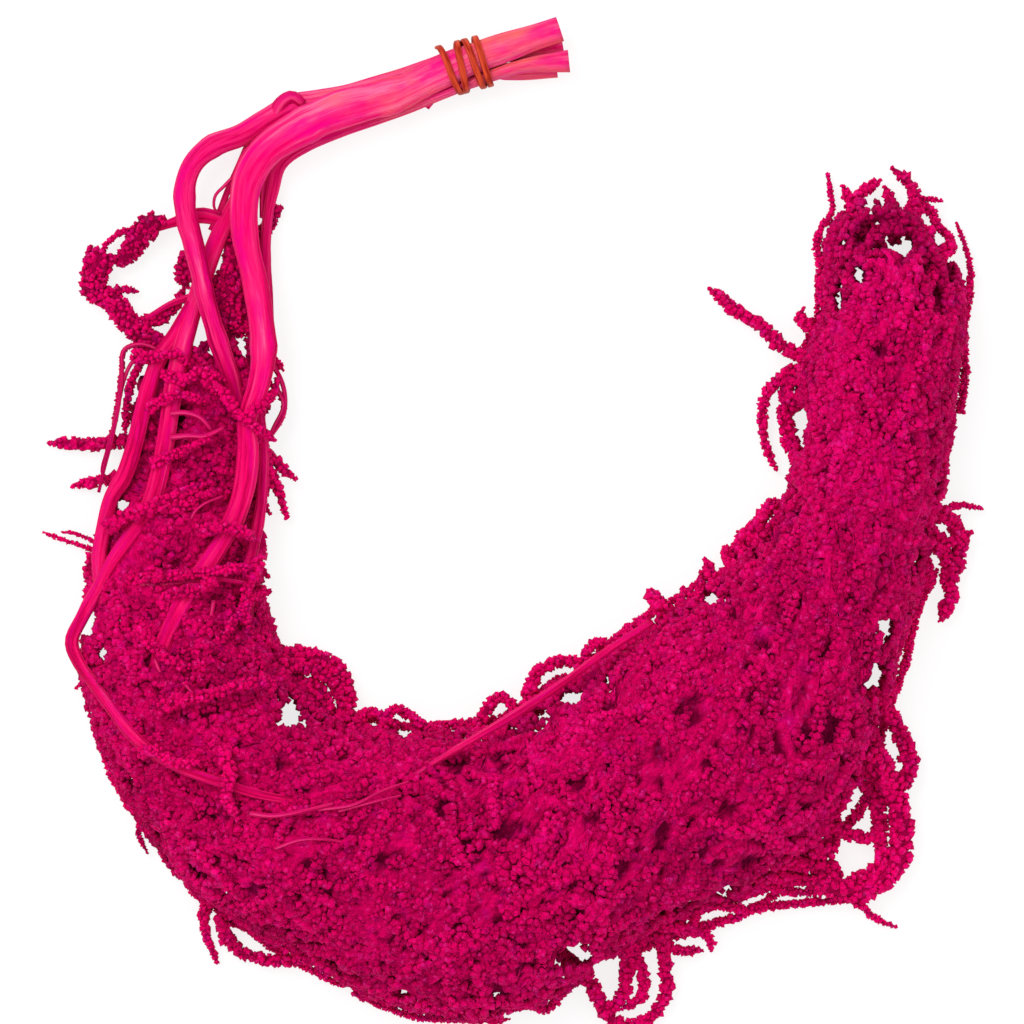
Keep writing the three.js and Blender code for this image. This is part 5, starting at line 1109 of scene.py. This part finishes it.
def band_turn(upper, lower, following, settings):
    """One turn of the elastic: its middle goes round the bundle on a rounded box, cosine and sine to the
    power 0.7, and moves along the bundle from upper to lower to the next turn. Its section is a rounded
    strap."""
    count, sides = 72, 14
    share = np.linspace(0, 1, count)
    angle = 2 * np.pi * share
    lean = np.array([math.cos(BAND_LEAN), math.sin(BAND_LEAN), 0])
    across = np.array([-math.sin(BAND_LEAN), math.cos(BAND_LEAN), 0])
    moved = np.interp(share, [0, 0.5, 1], [upper, lower, following])
    centre = place([BAND_MIDDLE])[0] + lean * moved[:, None]
    centre = centre + across * (flattened(np.cos(angle), BAND_ROUNDNESS) * BAND_HALF[0])[:, None]
    centre[:, 2] += flattened(np.sin(angle), BAND_ROUNDNESS) * BAND_HALF[1]
    out = across * np.cos(angle)[:, None]
    out[:, 2] = np.sin(angle)
    v = 2 * np.pi * np.arange(sides) / sides
    a = settings.width / MM / 2 * flattened(np.cos(v), 0.6)
    b = settings.thickness / MM / 2 * flattened(np.sin(v), 0.8) * (1 + 0.14 * np.cos(6 * v))
    corners, triangles = skin(centre[:, None] + lean * a[None, :, None] + out[:, None] * b[None, :, None])
    corners[:, 2] = corners[:, 2].clip(0.05)
    return corners, triangles, wrapped(share, v / UV_ROUND)


# ---- what a user would change ----


def share_property(name, description, default):
    """A share between nothing and one."""
    return bpy.props.FloatProperty(
        name=name, description=description, default=default, min=0, max=1, subtype="FACTOR"
    )


def length_property(name, description, default):
    """A length, kept in metres."""
    return bpy.props.FloatProperty(
        name=name, description=description, default=default,
        min=0.00001, precision=5, unit="LENGTH", subtype="DISTANCE",
    )


def colour_property(name, description, default):
    """A colour with red, green and blue as the renderer counts light."""
    return bpy.props.FloatVectorProperty(
        name=name, description=description, default=default, size=3, min=0, max=1, subtype="COLOR"
    )


class TasselSettings(bpy.types.PropertyGroup):
    """Sizes and colours of the beaded tassels."""

    knob: length_property("Floret cluster", "Radius of a cluster of florets", 0.0015)
    least_knob: length_property("Smallest cluster", "Radius of a cluster on the thinnest tassels", 0.00085)
    whorl: length_property("Whorl", "From the middle of a massed tassel out to its clusters", 0.0019)
    pitch: length_property("Whorl spacing", "From one whorl of clusters to the next", 0.00225)
    pits: length_property("Pit depth", "How deep the gaps between massed tassels go", 0.0034)
    grid: length_property("Relief spacing", "Between neighbouring corners of the massed relief", 0.002)
    grain: length_property("Grain", "How far the relief is roughened by chance", 0.00035)
    massed: bpy.props.IntProperty(
        name="Massed tassels", description="How many tassels lie over the mass", default=330, min=10, max=2000
    )
    seed: bpy.props.IntProperty(name="Seed", description="Chooses another chance lay", default=7, min=0)
    # The deep colour lands in the hollows because pits and cores get a low tint, which is painted shade.
    # Elsewhere the noises pick it at random.
    deep: colour_property("Deep", "Dye in the hollows of the clusters", (0.50, 0.0002, 0.078))
    middle: colour_property("Middle", "Dye over most of the clusters", (0.80, 0.0004, 0.119))
    bright: colour_property("Bright", "Dye on the clusters that stand out", (0.94, 0.0006, 0.161))
    lightest: colour_property("Lightest", "Dye on the driest tips", (0.98, 0.004, 0.21))
    violet: colour_property("Violet", "Patches where the dye took bluer", (0.62, 0.0008, 0.22))
    dry: colour_property("Dry", "Single florets that dried paler", (0.92, 0.03, 0.34))
    roughness: share_property("Roughness", "How matt the clusters are", 0.85)


class StemSettings(bpy.types.PropertyGroup):
    """Sizes and colours of the stems."""

    step: length_property("Ring spacing", "Between neighbouring rings of a stem", 0.0023)
    ribs: bpy.props.FloatProperty(
        name="Rib depth", description="How deep the ribs are cut, as a share of the stem",
        default=0.07, min=0, max=0.4,
    )
    pink: colour_property("Pink", "Dye on the bright stems", (0.86, 0.0015, 0.125))
    pink_deep: colour_property("Deep pink", "Dye in the grooves of the bright stems", (0.50, 0.0005, 0.06))
    rose: colour_property("Rose", "Dye on the deeper stems", (0.74, 0.001, 0.11))
    rose_deep: colour_property("Deep rose", "Dye in the grooves of the deeper stems", (0.36, 0.0, 0.05))
    pale: colour_property("Pale", "Dye on ribs that took less of it", (0.94, 0.025, 0.19))
    rubbed: colour_property("Rubbed", "Ribs and ends rubbed nearly bare", (0.95, 0.14, 0.30))
    pooled: colour_property("Pooled", "Blotches where the dye pooled", (0.84, 0.0002, 0.20))
    warm: colour_property("Warm", "Patches where the dry stem shows through", (0.95, 0.18, 0.10))
    roughness: share_property("Roughness", "How matt the stems are", 0.62)


class BandSettings(bpy.types.PropertyGroup):
    """Sizes and colours of the elastic band."""

    width: length_property("Width", "Width of the strap", 0.0027)
    thickness: length_property("Thickness", "Thickness of the strap", 0.0015)
    bright: colour_property("Bright", "Colour of the elastic", (0.60, 0.058, 0.022))
    deep: colour_property("Deep", "Colour in its fine grooves", (0.24, 0.004, 0.001))
    roughness: share_property("Roughness", "How matt the elastic is", 0.5)


class StageSettings(bpy.types.PropertyGroup):
    """The floor, the light and the view."""

    height: length_property("Camera height", "From the floor to the camera", 3.5)
    floor: colour_property("Floor", "Colour of the floor", (0.2, 0.2, 0.2))
    glow: bpy.props.FloatProperty(
        name="Glow", description="How strongly the light table under the bunch glows",
        default=0.8, min=0, max=5,
    )
    fill: bpy.props.FloatProperty(
        name="Fill", description="Strength of the even light from all round", default=1.05, min=0, max=5
    )
    key: bpy.props.FloatProperty(
        name="Key", description="Power of the large soft light", default=22.0, min=0, max=500, unit="POWER"
    )


# ---- operators ----


# How much lighter or deeper than the rest a spray is dyed. The loose loop and back sprays, which lie low
# among the stems, are made deeper partly as dye and partly as painted shade.
SPRAY_TINTS = {
    "spray_shoulder": -0.14, "spray_left": -0.04, "spray_corner_outer": -0.08, "spray_corner_inner": -0.04,
    "spray_loop": -0.28, "spray_back": -0.3,
}


# The tassels below and the layers on top: share of their number, stations, turns, how far they bend aside,
# how high their middles lie over the skin, clusters a whorl, and from which to which angle a whorl goes.
BURIED = (1.3, (0, LAST_STATION), (0.01, 0.99), 0.8, (-4.4, -2.6), 5, (-15, 195))
LAYERS = [
    (1.29, (2.9, 17.6), (0.03, 0.97), 0.75, (-2.6, -0.4), 4, (0, 180)),
    (0.06, (2.6, 17.9), (0.012, 0.07), 0.12, (-3.2, -1.4), 5, (0, 288)),
    (0.06, (2.6, 17.9), (0.93, 0.988), 0.12, (-3.2, -1.4), 5, (0, 288)),
    (0.24, (0.1, 3.3), (0.03, 0.97), 0.9, (-5, -0.4), 5, (0, 288)),
    (0.12, (17.0, 18.6), (0.03, 0.97), 0.6, (-12, -2), 5, (0, 288)),
]


def laid(layer, widths, tints, settings, rng):
    """Walks the tassels of a layer and sets clusters on them. Widths are shares of a whorl, and tints a mean
    and a spread. Returns the walks, the radius and the lift of each, and the clusters."""
    share, spans, turns, bend, lifts, around, arc = layer
    count = int(settings.massed * share)
    walks = tassel_walks(rng, count, settings.pitch / MM, spans, bend, turns)
    radius = settings.whorl / MM * rng.uniform(*widths, count)
    lift, tint = rng.uniform(*lifts, count), rng.normal(*tints, count)
    clusters = knobs_on_walks(rng, walks, radius, lift, tint, around, arc, settings.knob / MM)
    return walks, radius, lift, clusters


def buried_knobs(settings, rng):
    """The clusters of the tassels below the top layer, which the relief of the mass is raised to."""
    # The tassels below get a lower mean tint than those on top, which paints shade into the relief deeper in
    # the mass.
    return laid(BURIED, (0.8, 1.2), (0.42, 0.13), settings, rng)[3][:5]


def top_tassels(settings, stems, rng):
    """The tassels on top, as a list: station and turn where each starts, its core's path and radius or
    None, and its clusters' centres, radii, tints and shades. Clusters in a gap are left out, and those
    under a stem that shows are moved down below it."""
    found = []
    for layer in LAYERS:
        (s, t, _, runs), radius, lift, clusters = laid(layer, (0.75, 1.15), (0.5, 0.15), settings, rng)
        _, _, centre, size, tint, height, walk = clusters
        length, arc = runs.sum(axis=0), layer[-1]
        centre[:, 2] = np.minimum(centre[:, 2], stems.over(centre) - 0.9 * size)
        centre[:, 2] = np.maximum(centre[:, 2], 0.6 * size)
        keep = ~in_gap(centre)
        # Painted shade: clusters that lie lower in the mass are darkened by their height over the skin.
        shade = np.clip(0.78 + 0.08 * height, 0.58, 1)
        for number in range(len(length)):
            mine = keep & (walk == number)
            if not mine.any():
                continue
            core = None
            if arc[1] - arc[0] > 200 and length[number] > 4:
                station, turn = s[: length[number], number], t[: length[number], number]
                path = over_mass(station, turn) + slopes_over_mass(station, turn)[2] * lift[number]
                path[:, 2] = np.clip(path[:, 2], 1.0, stems.over(path) - 1.5)
                core = None if in_gap(path).any() else (path, radius[number])
            shown = (values[mine] for values in (centre, size, tint, shade))
            found.append((s[0, number], t[0, number], core, *shown))
    return found


def lay_strands(parts, strands, settings, rng, tint, largest=1.0):
    """Adds the single tassels of a list, each given by its radius, tip and route on the plan."""
    for radius, tip, route in strands:
        strand_parts(parts, radius, tip, place(route), settings, rng, tint, largest)


def in_spray(station, turn, span, turns):
    """Whether a place on the mass belongs to a spray."""
    return span[0] <= min(station, LAST_STATION - 0.01) < span[1] and turns[0] <= turn < turns[1]


def shared_material(name, make):
    """The material of this name, made if it isn't there yet."""
    return bpy.data.materials.get(name) or make()


def add_knobs(parts, centres, radii, tints, shades, least, rng):
    """Adds clusters of florets to the parts, cut off below the least height."""
    corners, triangles = knobs(centres, radii, rng)
    corners[:, 2] = corners[:, 2].clip(least)
    each = len(KNOB_CORNERS)
    tints, shades = (np.repeat(values, each) if np.ndim(values) else values for values in (tints, shades))
    parts.add(corners, triangles, tints, shades)


class AMARANTH_OT_massed_tassels(bpy.types.Operator):
    """Lays the tassels that are massed along the hook"""

    bl_idname = "amaranth.massed_tassels"
    bl_label = "Massed tassels"

    def execute(self, context):
        settings = context.scene.amaranth_tassels
        rng = np.random.default_rng(settings.seed)
        stems = Stems()
        buried = buried_knobs(settings, rng)
        top = top_tassels(settings, stems, rng)
        edge = edge_tassels(rng)
        material = tassel_material(settings)
        for name, (span, turns, strands) in SPRAYS.items():
            if span is None:
                continue
            parts = Parts()
            offset = SPRAY_TINTS.get(name, 0)
            corners, triangles, tint, shade = packed_relief(span, turns, buried, settings, stems, rng)
            parts.add(corners, triangles, tint + offset, shade)
            lay_strands(parts, strands, settings, rng, 0.5 + offset)
            for radius, tip, route, *start in edge:
                if in_spray(*start, span, turns) and in_gap(route).mean() < MOST_IN_GAPS:
                    strand_parts(parts, radius, tip, route, settings, rng, 0.5 + offset)
            for station, turn, core, centre, size, knob_tint, shade in top:
                if in_spray(station, turn, span, turns):
                    if core:
                        # The core gets a low tint and a shade of 0.5: painted shade among the clusters.
                        parts.add(*core_skin(*core), 0.2, 0.5)
                    add_knobs(parts, centre, size, knob_tint + offset, shade, 0.1, rng)
            parts.piece(name.replace("spray", "tassels"), material, "tassels", [name])
        return {"FINISHED"}


class AMARANTH_OT_crossing_tassels(bpy.types.Operator):
    """Lays the tassels that cross over the stems"""

    bl_idname = "amaranth.crossing_tassels"
    bl_label = "Crossing tassels"

    def execute(self, context):
        settings = context.scene.amaranth_tassels
        rng = np.random.default_rng(settings.seed + 2)
        material = shared_material("dyed_florets", lambda: tassel_material(settings))
        parts = Parts()
        lay_strands(parts, ACROSS, settings, rng, 0.44)
        parts.piece("tassels_across", material, "tassels", [])
        return {"FINISHED"}


class AMARANTH_OT_looped_tassels(bpy.types.Operator):
    """Lays the tassels that loop loosely round the stems at the left end"""

    bl_idname = "amaranth.looped_tassels"
    bl_label = "Looped tassels"

    def execute(self, context):
        settings = context.scene.amaranth_tassels
        rng = np.random.default_rng(settings.seed + 1)
        material = shared_material("dyed_florets", lambda: tassel_material(settings))
        for name, (span, _, strands) in SPRAYS.items():
            if span is None:
                parts = Parts()
                lay_strands(parts, strands, settings, rng, 0.5 + SPRAY_TINTS[name], LOOSE_CLUSTER)
                parts.piece(name.replace("spray", "tassels"), material, "tassels", [name])
        return {"FINISHED"}


class AMARANTH_OT_stems(bpy.types.Operator):
    """Makes the flattened, ribbed stems"""

    bl_idname = "amaranth.stems"
    bl_label = "Stems"

    def execute(self, context):
        settings = context.scene.amaranth_stems
        rng = np.random.default_rng(STEM_SEED)
        materials = {kind: stem_material(kind, settings) for kind in ("pink", "rose")}
        for name, routes in STEM_ROUTES.items():
            parts = Parts()
            for number, route in enumerate(routes):
                corners, triangles, uv, tint = stem_skin(route, settings, rng)
                parts.add(corners, triangles, tint, 1.0, uv + [0.37 * number, 0])
            kind = "pink" if name in ("stem_front", "stem_long") else "rose"
            parts.piece(name + "_ribbed", materials[kind], "stem_" + kind, [name])
        return {"FINISHED"}


class AMARANTH_OT_stalks(bpy.types.Operator):
    """Lays the thin bare stalks between the tassels"""

    bl_idname = "amaranth.stalks"
    bl_label = "Thin stalks"

    def execute(self, context):
        settings = context.scene.amaranth_stems
        material = shared_material("dyed_stem_rose", lambda: stem_material("rose", settings))
        parts = Parts()
        sides, step = 10, 1.5
        for radius, route in STALKS:
            _, path = evenly(place(route), step)
            count = len(path)
            corners, triangles = tube(path, radius * np.linspace(1.1, 0.75, count), sides)
            round_it = 2 * np.pi * np.arange(sides) / sides / UV_ROUND
            parts.add(corners, triangles, 0.1, 1.0, wrapped(np.arange(count) * step * MM + 0.5, round_it))
        parts.piece("thin_stalks", material, "stem_rose", [])
        return {"FINISHED"}


class AMARANTH_OT_band(bpy.types.Operator):
    """Winds the elastic band round the stems"""

    bl_idname = "amaranth.band"
    bl_label = "Elastic band"

    def execute(self, context):
        settings = context.scene.amaranth_band
        parts = Parts()
        following = [upper for upper, _ in BAND_TURNS[1:]] + [BAND_TURNS[-1][0]]
        for number, ((upper, lower), after) in enumerate(zip(BAND_TURNS, following)):
            corners, triangles, uv = band_turn(upper, lower, after, settings)
            parts.add(corners, triangles, 0.5, 1.0, uv + [0.29 * number, 0])
        parts.piece("elastic_band", band_material(settings), "band", ["tie_band"])
        return {"FINISHED"}


class AMARANTH_OT_stage(bpy.types.Operator):
    """Sets up the floor, the soft light and the camera straight above"""

    bl_idname = "amaranth.stage"
    bl_label = "Stage"

    def execute(self, context):
        settings = context.scene.amaranth_stage
        scene = context.scene

        def show(name, data):
            """An object in the scene with this data."""
            thing = bpy.data.objects.new(name, data)
            scene.collection.objects.link(thing)
            return thing

        mesh = bpy.data.meshes.new("floor")
        mesh.from_pydata([(-3, -3, 0), (3, -3, 0), (3, 3, 0), (-3, 3, 0)], [], [(0, 1, 2, 3)])
        floor = show("floor", mesh)
        matt = Dye("matt_floor", 0.9)
        matt.put(matt.shader, {
            "Base Color": settings.floor, "Specular IOR Level": 0.0,
            "Emission Color": (1, 1, 1), "Emission Strength": settings.glow,
        })
        mesh.materials.append(matt.material)

        world = bpy.data.worlds.new("even_light")
        world.use_nodes = True
        background = world.node_tree.nodes["Background"].inputs
        background["Color"].default_value = (1, 1, 1, 1)
        background["Strength"].default_value = settings.fill
        scene.world = world
        light = bpy.data.lights.new("key", "AREA")
        light.energy, light.shape, light.size = settings.key, "DISK", 1.2
        key = show("key", light)
        key.location = (-0.9, 1.0, 1.9)
        key.rotation_euler = key.location.to_track_quat("Z", "Y").to_euler()

        middle = place([(*PHOTO_MIDDLE, 0)])[0] * MM
        lens = bpy.data.cameras.new("view")
        lens.sensor_width = SENSOR
        lens.lens = SENSOR * (settings.height / MM - SCALE_HEIGHT) / PHOTO_WIDTH
        lens.clip_end = 20
        scene.camera = show("view", lens)
        scene.camera.location = (*middle[:2], settings.height)
        scene.view_settings.view_transform = "Standard"
        return {"FINISHED"}


class AMARANTH_PT_bunch(bpy.types.Panel):
    """Lists the pieces of the bunch and what can be changed about them"""

    bl_idname = "AMARANTH_PT_bunch"
    bl_label = "Hanging amaranth bunch"
    bl_space_type = "VIEW_3D"
    bl_region_type = "UI"
    bl_category = "Amaranth"

    def draw(self, context):
        scene = context.scene
        for operators, settings in (
            (("massed_tassels", "looped_tassels", "crossing_tassels"), scene.amaranth_tassels),
            (("stems", "stalks"), scene.amaranth_stems),
            (("band",), scene.amaranth_band),
            (("stage",), scene.amaranth_stage),
        ):
            box = self.layout.box()
            for operator in operators:
                box.operator("amaranth." + operator)
            for name in settings.__annotations__:
                box.prop(settings, name)


GROUPS = {
    "amaranth_tassels": TasselSettings,
    "amaranth_stems": StemSettings,
    "amaranth_band": BandSettings,
    "amaranth_stage": StageSettings,
}
CLASSES = (
    *GROUPS.values(), AMARANTH_OT_massed_tassels, AMARANTH_OT_looped_tassels, AMARANTH_OT_crossing_tassels,
    AMARANTH_OT_stems, AMARANTH_OT_stalks, AMARANTH_OT_band, AMARANTH_OT_stage, AMARANTH_PT_bunch,
)


def register():
    """Registers the classes and gives the scene its settings."""
    for kind in CLASSES:
        bpy.utils.register_class(kind)
    for name, group in GROUPS.items():
        setattr(bpy.types.Scene, name, bpy.props.PointerProperty(type=group))


def unregister():
    """Takes the settings and the classes away again."""
    for name in GROUPS:
        delattr(bpy.types.Scene, name)
    for kind in reversed(CLASSES):
        bpy.utils.unregister_class(kind)


def main():
    """Builds the bunch and the stage."""
    register()
    bpy.ops.amaranth.stage()
    bpy.ops.amaranth.stems()
    bpy.ops.amaranth.stalks()
    bpy.ops.amaranth.band()
    bpy.ops.amaranth.massed_tassels()
    bpy.ops.amaranth.looped_tassels()
    bpy.ops.amaranth.crossing_tassels()


if __name__ == "__main__":
    main()
